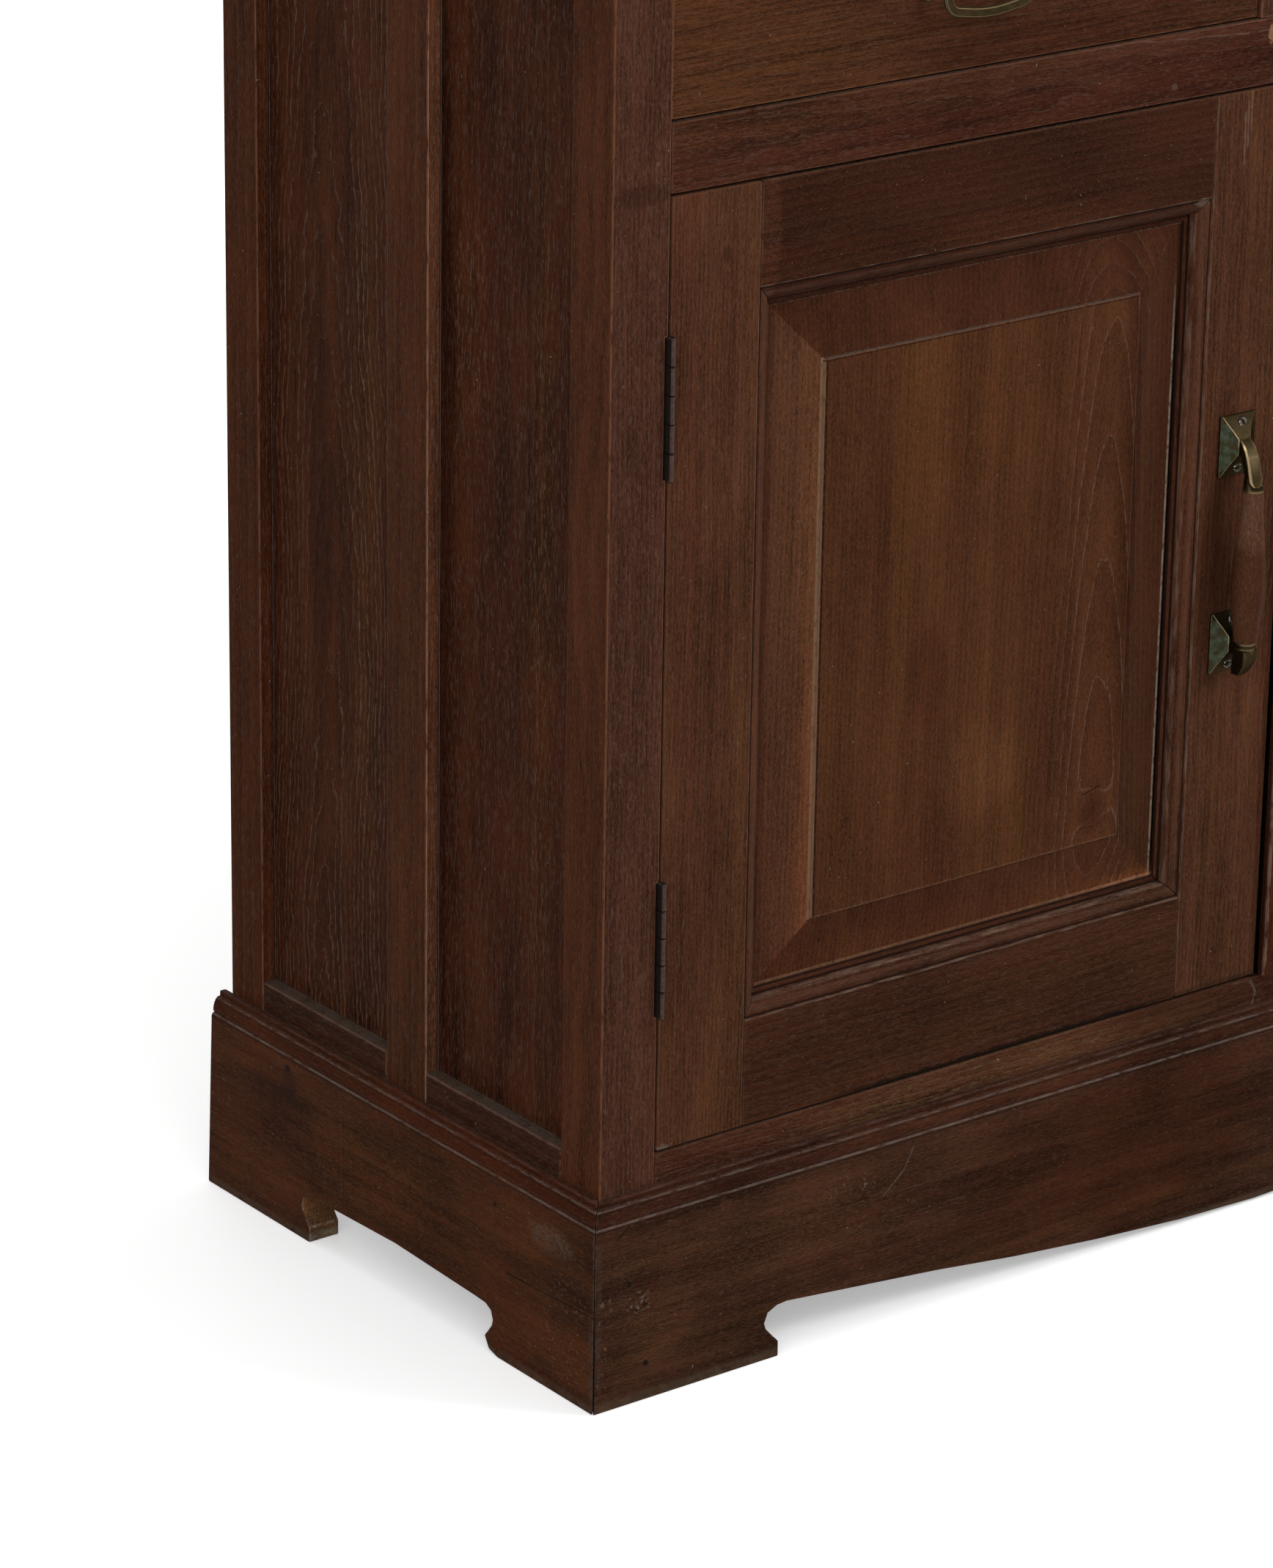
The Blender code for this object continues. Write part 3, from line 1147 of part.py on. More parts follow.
def ball(centre, radius):
    shape = bmesh.new()
    bmesh.ops.create_uvsphere(shape, u_segments=SMALL_ROUND_SIDES, v_segments=SMALL_ROUND_SIDES // 2,
                              radius=radius, matrix=Matrix.Translation(centre))
    return shape


def make_backplate(side, pivot):
    """The plate of a handle: two pointed ovals joined by a bridge, each with an eye for the bail."""
    bridge = block(handle_point(side, -POST_SPACING, FIT, -BRIDGE_HEIGHT / 2),
                   handle_point(side, POST_SPACING, BACKPLATE_THICKNESS - FIT, BRIDGE_HEIGHT / 2))
    joins = [lobe(side, -LOBE_SPACING), lobe(side, LOBE_SPACING)]
    cuts = []
    for end in (-1, 1):
        across = end * POST_SPACING
        joins.append(rod(handle_point(side, across, BACKPLATE_THICKNESS / 2, 0),
                         handle_point(side, across, BAIL_AXIS_REACH, 0), EYE_STEM_RADIUS, SMALL_ROUND_SIDES))
        joins.append(ball(handle_point(side, across, BAIL_AXIS_REACH, 0), EYE_RADIUS))
        cuts.append(rod(handle_point(side, end * BAIL_HALF_WIDTH, BAIL_AXIS_REACH, 0),
                        handle_point(side, across + end * (EYE_RADIUS + OVERRUN), BAIL_AXIS_REACH, 0),
                        BAIL_PIN_RADIUS + FIT, SMALL_ROUND_SIDES))
    name = "handle_" + SIDE_NAMES[side] + "_backplate"
    piece(name, bridge, "aged_brass", joins=joins, cuts=cuts, pivot=pivot, smooth=True)


def bail_path():
    """The centre line of a bail from one arm's top to the other's: pairs of across and height."""
    radius = BAIL_CORNER_RADIUS
    half = BAIL_HALF_WIDTH
    low = -BAIL_DROP + BAIL_SAG
    points = [(-half, BAIL_STRAP_WIDTH / 2), (-half, 0), (-half, (low + radius) / 2)]
    for i in range(ARC_STEPS + 1):
        angle = math.pi / 2 * i / ARC_STEPS
        points.append((-half + radius * (1 - math.cos(angle)), low + radius * (1 - math.sin(angle))))
    for way in range(1, ARC_STEPS):
        share = way / ARC_STEPS
        across = (-half + radius) * (1 - share)
        points.append((across, low - BAIL_SAG * math.sin(math.pi / 2 * share)))
    points.append((0, -BAIL_DROP))
    return points + [(-across, height) for across, height in reversed(points[:-1])]


def make_bail(side, pivot):
    """A flat strap bent into a bail, with a pin at each end turned outward into the eyes."""
    path = bail_path()
    rings = []
    for i, (across, height) in enumerate(path):
        before = Vector(path[max(i - 1, 0)])
        after = Vector(path[min(i + 1, len(path) - 1)])
        along = (after - before).normalized()
        ring = []
        for wide, thick in STRAP_SHARES:
            off = wide * BAIL_STRAP_WIDTH / 2
            reach = BAIL_AXIS_REACH + thick * BAIL_STRAP_THICKNESS / 2
            ring.append(handle_point(side, across - along.y * off, reach, height + along.x * off))
        rings.append(ring)
    joins = []
    for end in (-1, 1):
        joins.append(rod(handle_point(side, end * BAIL_HALF_WIDTH, BAIL_AXIS_REACH, 0),
                         handle_point(side, end * (POST_SPACING + EYE_RADIUS / 2), BAIL_AXIS_REACH, 0),
                         BAIL_PIN_RADIUS - FIT / 3, SMALL_ROUND_SIDES))
    name = "handle_" + SIDE_NAMES[side] + "_bail"
    piece(name, solid(rings), "aged_brass", joins=joins, pivot=pivot, smooth=True)


# Assembly


def make_side(side):
    make_front_post(side)
    make_back_post(side)
    for name in SIDE_RAILS:
        make_side_rail(side, name)
    make_muntin(side)
    make_side_panel(side, "front", (FRONT_POST_DEPTH, MUNTIN_FROM_FRONT))
    make_side_panel(side, "back", (MUNTIN_BACK, BACK_POST_FRONT))
    make_plinth_side(side)


def make_door(side):
    pivot = pivot_at("door_" + SIDE_NAMES[side] + "_axis",
                     from_side(side, POST_WIDTH + DOOR_GAP / 2, -BARREL_STANDOFF, DOOR_LOW_Z))
    for which in ("hinge", "meeting"):
        make_stile(side, which, pivot)
    for which in ("top", "bottom"):
        make_door_rail(side, which, pivot)
    make_door_panel(side, pivot)
    for place in ("top", "bottom"):
        make_post_leaf(side, place)
        make_door_leaf(side, place, pivot)
    for which in ("upper", "lower"):
        make_bracket(side, which, pivot)
    make_grip(side, pivot)


def make_drawer(side):
    pivot = pivot_at("drawer_" + SIDE_NAMES[side] + "_slide",
                     from_side(side, HANDLE_INSET, 0, DRAWER_FLOOR_Z))
    make_drawer_front(side, pivot)
    make_drawer_box(side, pivot)
    make_drawer_bottom(side, pivot)
    make_backplate(side, pivot)
    axis = handle_point(side, 0, BAIL_AXIS_REACH, 0)
    make_bail(side, pivot_at("bail_" + SIDE_NAMES[side] + "_axis", axis, pivot))


def make_cabinet():
    for side in (LEFT, RIGHT):
        make_side(side)
        make_door(side)
        make_drawer(side)
    for name in FRONT_RAILS:
        make_front_rail(name)
    make_divider()
    make_bottom_board()
    make_shelf()
    make_dust_board()
    make_back_panel()
    make_top_board()
    make_plinth_front()


clear_scene()
MATERIALS = make_materials()
make_cabinet()
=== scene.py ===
"""The look of the low teak cupboard: worn timber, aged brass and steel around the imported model.

Metres, +Z up, front towards -Y. Timber patterns and marks are worked out in millimetres of the part's own
frame, so grain, pores and marks keep their real size and stay on their piece when it moves.
"""
import json
import math
from contextlib import contextmanager
from functools import reduce

import bmesh
import bpy
from mathutils import Matrix, Vector

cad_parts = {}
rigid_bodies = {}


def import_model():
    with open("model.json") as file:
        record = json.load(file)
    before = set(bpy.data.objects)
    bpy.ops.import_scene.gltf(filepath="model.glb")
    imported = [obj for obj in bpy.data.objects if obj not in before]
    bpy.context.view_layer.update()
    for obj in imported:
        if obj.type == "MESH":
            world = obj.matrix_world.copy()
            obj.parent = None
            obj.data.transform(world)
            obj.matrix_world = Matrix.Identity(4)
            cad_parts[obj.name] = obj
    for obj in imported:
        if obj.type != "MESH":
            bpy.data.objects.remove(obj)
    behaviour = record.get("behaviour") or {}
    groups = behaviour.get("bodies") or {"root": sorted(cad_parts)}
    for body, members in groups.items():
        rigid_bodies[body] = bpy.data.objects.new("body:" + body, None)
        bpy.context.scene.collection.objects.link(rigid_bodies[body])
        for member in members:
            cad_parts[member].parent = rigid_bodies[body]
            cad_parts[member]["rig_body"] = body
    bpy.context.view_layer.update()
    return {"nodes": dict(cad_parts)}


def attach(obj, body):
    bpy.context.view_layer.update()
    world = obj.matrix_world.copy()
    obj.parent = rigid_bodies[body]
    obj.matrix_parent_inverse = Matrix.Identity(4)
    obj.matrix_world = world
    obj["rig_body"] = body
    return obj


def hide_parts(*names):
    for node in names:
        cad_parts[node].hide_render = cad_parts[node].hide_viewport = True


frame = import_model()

SIDES = ("left", "right")
MILLI = 1000.0

# Camera, from straight edges of the photo
CAMERA_PLACE = Vector((-2.20318, -2.46645, 1.43760))
CAMERA_AZIMUTH = math.radians(-37.45)
CAMERA_ELEVATION = math.radians(20.64)
CAMERA_ROLL = math.radians(0.88)
IMAGE_HEIGHT = 2138
FOCAL_PIXELS = 8282
SENSOR_HEIGHT = 36.0

# Places for marks, in millimetres: front of the frame and doors, the field of a door's panel, front and end
# of the plinth, face of the side panels and top of their bottom rail
FACE = -165.5
FIELD_FACE = -162.5
PLINTH_FACE = -175.5
PLINTH_END = -471.0
RECESS = 451.5
RECESS_FOOT = 134.7

# The fielded panel's opening, in millimetres from the middle of the cupboard and above the floor
PANEL_OUTER = 354.2
PANEL_INNER = 73.7
PANEL_TOP = 583.4
PANEL_FOOT = 210.0
BEVEL_WIDTH = 33.0

# Door pulls, in metres
FRONT = -0.1655
FIT = 0.0003
PULL_INSET = 0.035
PULL_STANDOFF = 0.015
PULL_UPPER = 0.4556
PULL_LOWER = 0.3430
PLATE_LEFT = 0.0135
PLATE_RIGHT = 0.01175
PLATE_HEIGHT = 0.034
PLATE_THICKNESS = 0.0016
PLATE_ROWS = 40
RIDGE_EDGE = 0.0004
ROOT_SHARE = 0.24
ROOT_LEFT = 0.0046
ROOT_RIGHT = 0.0036
ROOT_RISE = 0.0070
ARM_STEPS = 44
TONGUE_LENGTH = 0.0050
CUP_RADIUS = 0.0057
CUP_FLAT = 0.0019
CUP_SLOPE = 0.24
GRIP_TOP = 0.4326
GRIP_FOOT = 0.3462
GRIP_END = 0.0066
TURNED_SIDES = 40
SCREW_RADIUS = 0.0029
SCREW_OFFSET = 0.0126
SCREW_SIDES = 36
SCREW_SEAT = 0.0012

# Hinges
HINGE_KNUCKLES = 5
BARREL_STANDOFF = 0.0027
BARREL_REACH = 0.0029
BARREL_SHARE = 0.68

# Nails of the back boards, in millimetres: pitch of the boards, heights of the rows
BACK_PITCH = 123.6
BACK_ROWS = (118.0, 398.0, 824.0)

# Arris wear and smoothing
WORN_WIDTH = 0.0009
BRASS_ARRIS = 0.0003
STEEL_ARRIS = 0.0002
SHARP = math.radians(28)
SMOOTH = math.radians(40)
FLAT = math.radians(0.6)
MERGE = 1e-6
TIMBER_SPECULAR = 0.03

# Stage and light
FLOOR_REACH = 14.0
FLOOR_LIFT = 0.35
AMBIENT = 0.42
AIM = Vector((0, 0, 0.4))

# Mean colours of the timbers, linear
REAR_POST = (0.0487, 0.0127, 0.0033)
PANEL_REAR = (0.0436, 0.0121, 0.0047)
MUNTIN = (0.0552, 0.0172, 0.0066)
PANEL_FRONT = (0.0392, 0.0106, 0.0042)
POST_FRONT = (0.0686, 0.0258, 0.0150)
SIDE_RAIL = (0.0330, 0.0111, 0.0056)
STILE = (0.0735, 0.0271, 0.0130)
DOOR_TOP = (0.0407, 0.0131, 0.0064)
DOOR_BOTTOM = (0.0480, 0.0167, 0.0082)
FIELD = (0.0764, 0.0272, 0.0113)
DRAWER_FACE = (0.0601, 0.0207, 0.0091)
DRAWER_RAIL = (0.0581, 0.0190, 0.0102)
PLINTH_SIDE_TONE = (0.0536, 0.0168, 0.0057)
PLINTH_FRONT_TONE = (0.0505, 0.0196, 0.0102)
TOP_TONE = (0.056, 0.0205, 0.0105)
INNER = (0.120, 0.060, 0.034)
GRIP = (0.074, 0.0272, 0.0135)
DUST = (0.120, 0.095, 0.075)
WORN = (0.170, 0.085, 0.050)
WAX = (1.0, 0.70, 0.48)
LINT = (0.30, 0.24, 0.19)
GROOVE_DUST = (0.150, 0.125, 0.108)
BRASS_EDGE = (0.42, 0.36, 0.26)
WHITE = (1.0, 1.0, 1.0)


# Shader nodes


class Net:
    """A material's nodes, built by short calls."""

    def __init__(self, name):
        self.material = bpy.data.materials.new(name)
        self.material.use_nodes = True
        self.tree = self.material.node_tree
        self.tree.nodes.clear()
        self.shader = self.make("BsdfPrincipled")
        self.tree.links.new(self.shader.outputs[0], self.make("OutputMaterial").inputs["Surface"])
        self.point = None

    def feed(self, socket, value):
        if isinstance(value, bpy.types.NodeSocket):
            self.tree.links.new(value, socket)
        elif value is not None:
            socket.default_value = value

    def make(self, kind, values=(), **settings):
        """A new node with its settings and the values of its inputs in order; None leaves one as it is."""
        node = self.tree.nodes.new("ShaderNode" + kind)
        for name, value in settings.items():
            setattr(node, name, value)
        for socket, value in zip(node.inputs, values):
            self.feed(socket, value)
        return node

    def math(self, operation, *values, clamp=False):
        return self.make("Math", values, operation=operation, use_clamp=clamp).outputs[0]

    def add(self, *values):
        return reduce(lambda total, value: self.math("ADD", total, value), values)

    def times(self, *values):
        return reduce(lambda total, value: self.math("MULTIPLY", total, value), values)

    def less(self, first, second):
        return self.math("SUBTRACT", first, second)

    def size(self, value):
        return self.math("ABSOLUTE", value)

    def vector(self, operation, *values, output=0):
        return self.make("VectorMath", values, operation=operation).outputs[output]

    def split(self, vector):
        return tuple(self.make("SeparateXYZ", (vector,)).outputs)

    def join(self, x, y, z):
        return self.make("CombineXYZ", (x, y, z)).outputs[0]

    def ease(self, value, low, high, start=0.0, end=1.0):
        """A smooth step from start at low to end at high."""
        values = (value, low, high, start, end)
        return self.make("MapRange", values, interpolation_type="SMOOTHSTEP").outputs[0]

    def near(self, value, middle, reach, inner=0.4):
        """1 round the middle, falling to 0 at its reach; inner is the share of the reach that stays at 1."""
        return self.ease(self.size(self.less(value, middle)), reach * inner, reach, 1.0, 0.0)

    def noise(self, vector, detail=2.0, roughness=0.5):
        """Noise from 0 to 1 whose grain is one unit of the vector."""
        return self.make("TexNoise", (vector, None, 1.0, detail, roughness)).outputs[0]

    def swing(self, vector, detail=2.0, roughness=0.5):
        """Noise from about -1 to 1."""
        return self.math("MULTIPLY_ADD", self.noise(vector, detail, roughness), 2.0, -1.0)

    def chance(self, value):
        """A random number from 0 to 1 for each whole value."""
        return self.make("TexWhiteNoise", (None, value), noise_dimensions="1D").outputs[0]

    def mix(self, amount, first, second, blend="MIX"):
        values = (amount, *[None] * 5, opaque(first), opaque(second))
        return self.make("Mix", values, data_type="RGBA", blend_type=blend).outputs[2]

    def tint(self, amount, colour, tone):
        return self.mix(amount, colour, tone, "MULTIPLY")

    def bump(self, height, reach, strength=1.0):
        node = self.make("Bump")
        self.feed(node.inputs["Height"], height)
        node.inputs["Distance"].default_value = reach
        node.inputs["Strength"].default_value = strength
        self.feed(self.shader.inputs["Normal"], node.outputs[0])

    def place(self):
        """The point in millimetres of the part's frame, split into x, y and z."""
        if self.point is None:
            place = self.make("TexCoord").outputs["Object"]
            self.point = self.split(self.vector("SCALE", place, None, None, MILLI))
        return self.point

    def scaled(self, *rates):
        """The point in millimetres with a rate for each axis."""
        return self.vector("MULTIPLY", self.join(*self.place()), rates)

    def away(self, where, size):
        """How far the point lies from a place, in shares of a size along each axis."""
        gap = self.vector("SUBTRACT", self.join(*self.place()), where)
        return self.vector("LENGTH", self.vector("DIVIDE", gap, size), output=1)

    def normal(self):
        return self.split(self.make("NewGeometry").outputs["True Normal"])

    def worn(self):
        """1 on the worn arrises of a dressed board, from its own face data."""
        return self.make("Attribute", attribute_name="worn").outputs["Fac"]

    def corner(self, reach):
        """1 deep in a corner or groove, 0 in the open."""
        return self.less(1.0, self.make("AmbientOcclusion", (None, reach), samples=4).outputs["AO"])

    def finish(self, colour, roughness, specular, metallic=0.0):
        self.feed(self.shader.inputs["Base Color"], opaque(colour))
        self.feed(self.shader.inputs["Roughness"], roughness)
        self.shader.inputs["Specular IOR Level"].default_value = specular
        self.shader.inputs["Metallic"].default_value = metallic
        return self.material


def opaque(value):
    """A colour of three numbers with its alpha; sockets pass through."""
    return (*value, 1.0) if isinstance(value, tuple) else value


def tinted(tone, share):
    return tuple(share * part for part in tone)


def blended(first, second, share):
    return tuple(a + (b - a) * share for a, b in zip(first, second))


# Timber

# grain: axis of the grain; face: axis that the main face looks along; seed: which board
# pith: where the heart lies across and behind the face, mm; rise: how its depth changes along the grain
# ring: ring spacing, mm; line: light pore line at each ring; late: dark late wood
# wave: wander of the rings, mm; jag: their small wander; kink: how fast they wander along the grain
# thin: least slope that widens a line; spread: where lines fade; even: least line
# fibre, speck, streak, mottle: fine, short, broad and cloudy contrast; pore, fleck: dark and light pores
# gold: golden and red bands; knot: place, size and bulge of a swirl in the rings
# dust: in corners and on ledges; wear: on arrises; broken: gaps in the wear; gloss: lowest roughness
TIMBER = dict(grain="z", face="y", seed=0, tone=STILE, pith=(400.0, 0.0), rise=0.0, ring=4.0, line=0.5,
              late=0.6, wave=3.0, fibre=1.0, speck=1.0, streak=0.8, mottle=0.8, pore=0.30, fleck=0.35,
              pore_size=(1.5, 0.22), gold=0.7, dust=0.6, wear=0.95, gloss=0.55, line_width=0.55, relief=0.6,
              jag=0.9, kink=0.040, thin=0.20, spread=0.0, even=0.25, knot=None, worn_tone=WORN, broken=0.0,
              shine=TIMBER_SPECULAR)


def board_place(net, look):
    """The point as the board has it, in millimetres: across the grain, into the face, along the grain."""
    point = dict(zip("xyz", net.place()))
    across = next(axis for axis in "xyz" if axis not in (look["grain"], look["face"]))
    return point[across], point[look["face"]], point[look["grain"]]


def ring_lines(net, look, across, depth, along):
    """The growth rings: light pore lines, and how far into the late wood the point is."""
    seed = look["seed"] * 37.0

    def board_noise(make, fine, long, detail):
        return make(net.join(net.add(net.times(across, fine), seed), net.times(depth, fine),
                             net.times(along, long)), detail)

    slow = board_noise(net.noise, 0.010, 0.006, 2.0)
    quick = board_noise(net.swing, 0.14, look["kink"], 3.0)
    aside = net.add(net.less(across, look["pith"][0]), net.times(net.less(slow, 0.5), 4.0 * look["wave"]))
    behind = net.add(net.less(depth, look["pith"][1]), net.times(along, look["rise"]))
    radius = net.math("SQRT", net.add(net.times(aside, aside), net.times(behind, behind)))
    if look["knot"]:
        over, up, size, bulge = look["knot"]
        far = net.add(net.math("POWER", net.times(net.less(across, over), 1.0 / size), 2.0),
                      net.math("POWER", net.times(net.less(along, up), 0.8 / size), 2.0))
        radius = net.add(radius, net.times(net.math("EXPONENT", net.times(far, -1.0)), bulge))
    tilt = net.times(behind, look["rise"])
    shallow = net.math("SQRT", net.add(net.times(aside, aside), net.times(tilt, tilt)))
    slope = net.math("DIVIDE", shallow, radius)
    phase = net.add(net.times(radius, 1.0 / look["ring"]), net.times(quick, look["jag"] / look["ring"]))
    nearest = net.math("FLOOR", net.add(phase, 0.5))
    share = net.size(net.less(phase, nearest))
    away = net.math("DIVIDE", net.times(share, look["ring"]), net.math("MAXIMUM", slope, look["thin"]))
    line = net.ease(away, look["line_width"] * 0.3, look["line_width"], 1.0, 0.0)
    if look["spread"]:
        line = net.times(line, net.ease(net.size(aside), look["spread"], look["spread"] * 0.4))
    line = net.times(line, net.ease(net.chance(net.add(nearest, seed)), 0.15, 0.75, look["even"], 1.0))
    late = net.ease(net.less(phase, net.math("FLOOR", phase)), 0.15, 0.95, -0.5, 0.5)
    return line, late


def timber(name, marks=(), **changes):
    """A worn, waxed teak board. Marks are functions that paint over its colour."""
    look = {**TIMBER, **changes}
    net = Net(name)
    across, depth, along = board_place(net, look)
    seed = look["seed"] * 53.0

    def cloth(fine, long, shift=0.0):
        return net.join(net.add(net.times(across, fine), seed + shift), net.times(depth, fine),
                        net.times(along, long))

    line, late = ring_lines(net, look, across, depth, along)
    dashes = net.ease(net.noise(cloth(1.2, 0.16, 11.0), 2.0), 0.40, 0.58)
    fibre = net.swing(cloth(0.9, 0.035), 2.0, 0.6)
    speck = net.swing(cloth(1.5, 0.50, 13.0), 2.0, 0.7)
    streak = net.swing(cloth(0.17, 0.004, 5.0), 2.0, 0.5)
    mottle = net.swing(cloth(0.035, 0.010, 9.0), 3.0, 0.5)
    wide, long = look["pore_size"]
    dark_pore = net.ease(net.noise(cloth(wide, long, 17.0), 1.0), 0.55, 0.66)
    light_pore = net.ease(net.noise(cloth(wide * 0.9, long * 0.9, 23.0), 1.0), 0.57, 0.68)
    level = net.add(0.5, net.times(fibre, 0.50 * look["fibre"]), net.times(speck, 0.75 * look["speck"]),
                    net.times(streak, 0.45 * look["streak"]), net.times(mottle, 0.55 * look["mottle"]),
                    net.times(late, -0.30 * look["late"]))
    tone = look["tone"]
    colour = net.mix(net.math("ADD", level, 0.0, clamp=True), tinted(tone, 0.30), tinted(tone, 1.70))
    bands = net.swing(cloth(0.05, 0.0028, 31.0), 2.0, 0.5)
    golden = net.ease(bands, 0.0, 0.42)
    red = net.ease(bands, -0.42, 0.0, 1.0, 0.0)
    colour = net.tint(net.times(golden, look["gold"]), colour, (1.16, 1.24, 1.02))
    colour = net.tint(net.times(red, look["gold"]), colour, (0.95, 0.82, 0.82))
    colour = net.mix(net.times(dark_pore, look["pore"]), colour, tinted(tone, 0.25))
    pale = blended(tinted(tone, 1.9), DUST, 0.45)
    colour = net.mix(net.times(light_pore, look["fleck"]), colour, pale)
    colour = net.mix(net.times(line, dashes, look["line"]), colour, pale)
    relief = net.add(net.times(fibre, 0.35), net.times(dark_pore, -0.9), net.times(streak, 0.2))
    colour, rough = surface_wear(net, look, colour, cloth)
    for paint in marks:
        colour = paint(net, colour)
    net.bump(relief, 0.00022, look["relief"])
    net.shader.inputs["Specular Tint"].default_value = opaque(WAX)
    return net.finish(colour, rough, look["shine"])


def surface_wear(net, look, colour, cloth):
    """Dust on ledges and in corners, rubbed arrises, and the roughness that goes with them."""
    breakup = net.noise(cloth(0.35, 0.10, 41.0), 3.0, 0.6)
    rubbed = net.ease(breakup, 0.28 + look["broken"], 0.56 + look["broken"])
    worn = net.times(net.worn(), rubbed, look["wear"])
    colour = net.mix(worn, colour, blended(look["worn_tone"], tinted(look["tone"], 2.2), 0.5))
    upward = net.ease(net.normal()[2], 0.55, 0.95)
    corner = net.ease(net.corner(0.005), 0.42, 0.66)
    grit = net.ease(net.noise(cloth(0.8, 0.5, 47.0), 3.0, 0.65), 0.38, 0.68)
    settled = net.math("MAXIMUM", net.times(upward, 0.45), net.times(corner, 0.55))
    dust = net.times(settled, grit, look["dust"])
    colour = net.mix(dust, colour, DUST)
    lint = net.noise(net.scaled(0.5, 0.5, 0.5), 1.0)
    colour = net.mix(net.ease(lint, 0.785, 0.810, 0.0, 0.55), colour, LINT)
    rough = net.add(look["gloss"], net.times(breakup, 0.14), net.times(dust, 0.35))
    return colour, rough


# Marks on single boards: each paints over the colour of a net; places and sizes in millimetres of the part


def mark(paint):
    """Makes paint(net, colour, ...) a function that takes the rest and gives paint(net, colour)."""
    return lambda *rest, **named: lambda net, colour: paint(net, colour, *rest, **named)


@mark
def spot(net, colour, where, size, tone, amount, ragged=0.5, rate=0.5):
    """A ragged spot of another tone."""
    rough = net.times(net.swing(net.scaled(rate, rate, rate), 3.0, 0.65), ragged)
    inside = net.ease(net.add(net.away(where, size), rough), 0.75, 1.1, 1.0, 0.0)
    return net.mix(net.times(inside, amount), colour, tone)


@mark
def facing(net, colour, axis, sign, tone, low=0.5, high=0.9):
    """A tint over the faces that look one way."""
    part = net.normal()["xyz".index(axis)]
    return net.tint(net.ease(net.times(part, sign), low, high), colour, tone)


@mark
def cloud(net, colour, where, size, tone):
    """A soft tint round a point; a size of zero reaches along the whole axis."""
    far = 0.0
    for part, middle, reach in zip(net.place(), where, size):
        if reach:
            gap = net.times(net.less(part, middle), 1.0 / reach)
            far = net.add(net.times(gap, gap), far)
    sway = net.times(net.swing(net.scaled(0.02, 0.02, 0.02), 2.0), 0.6)
    return net.tint(net.ease(net.add(far, sway), 0.1, 1.2, 1.0, 0.0), colour, tone)


@mark
def scratch(net, colour, start, end, half, tone, amount):
    """A broken line from start to end."""
    along = Vector(end) - Vector(start)
    away = net.vector("SUBTRACT", net.join(*net.place()), start)
    way = net.vector("DOT_PRODUCT", away, tuple(along / along.length_squared), output=1)
    foot = net.vector("SCALE", tuple(along), None, None, net.math("ADD", way, 0.0, clamp=True))
    gap = net.vector("DISTANCE", away, foot, output=1)
    sway = net.times(net.swing(net.scaled(0.3, 0.3, 0.3), 2.0), half)
    inside = net.ease(net.add(gap, sway), half * 0.3, half, 1.0, 0.0)
    return net.mix(net.times(inside, amount), colour, tone)


@mark
def chips(net, colour, where, size, tone, rare=0.60):
    """Small chips scattered round a point."""
    inside = net.ease(net.away(where, size), 0.6, 1.1, 1.0, 0.0)
    bits = net.ease(net.noise(net.scaled(0.42, 0.42, 0.42), 2.0, 0.7), rare, rare + 0.07)
    return net.mix(net.times(inside, bits, 0.8), colour, tone)


@mark
def band(net, colour, axis, middle, half, tone, amount, low=-0.4, high=0.3, span=None):
    """A ragged line across a board at one place of an axis; span limits it along another axis."""
    point = dict(zip("xyz", net.place()))
    ragged = net.swing(net.scaled(0.12, 0.12, 0.12), 4.0, 0.65)
    inside = net.near(net.add(point[axis], net.times(ragged, half * 0.9)), middle, half, 0.3)
    inside = net.times(inside, net.ease(ragged, low, high), amount)
    if span:
        other, start, end, soft = span
        inside = net.times(inside, net.ease(point[other], start, start + soft),
                           net.ease(point[other], end, end - soft))
    return net.mix(inside, colour, tone)


@mark
def recess_line(net, colour, painted_wall_light):
    """Painted light on the front-facing walls of a side's recesses, a dark line of painted shade where a wall
    meets the panel, and a line of pale dust beside it.
    """
    x, y, z = net.place()
    way = net.less(net.size(x), RECESS)
    wall = net.ease(net.times(net.normal()[1], -1.0), 0.5, 0.9)
    # painted light: the walls that face the front are made lighter
    colour = net.tint(wall, colour, painted_wall_light)
    # painted shade: a dark line in the corner of wall and panel
    colour = net.mix(net.times(net.near(way, 1.4, 0.8, 0.25), wall, 0.7), colour, (0.014, 0.006, 0.005))
    grit = net.noise(net.join(net.times(y, 0.02), net.times(x, 0.4), net.times(z, 0.13)), 4.0, 0.7)
    pale = net.times(net.near(way, 0.5, 0.8, 0.25), wall)
    return net.mix(net.times(pale, net.ease(grit, 0.42, 0.56), 0.8), colour, (0.22, 0.18, 0.16))


# Lines along a door moulding: place, half width, tone, amount, and the range over which it breaks up
# dark lines: painted shade in the quirks, the last the gap to the panel; light lines: worn arrises with
# painted highlight and a painted light band on the ovolo
MOULDING_LINES = ((1.0, 0.8, (0.010, 0.005, 0.004), 0.85, -0.7, -0.1),
                  (-0.2, 0.7, (0.19, 0.125, 0.09), 0.75, -0.25, 0.35),
                  (4.6, 2.4, (0.125, 0.066, 0.044), 0.32, -0.6, 0.4),
                  (8.3, 0.9, (0.21, 0.130, 0.092), 0.60, -0.3, 0.4),
                  (9.7, 0.8, (0.008, 0.004, 0.003), 0.85, -0.8, -0.2),
                  (12.8, 0.7, (0.004, 0.002, 0.002), 0.8, -0.8, -0.2))


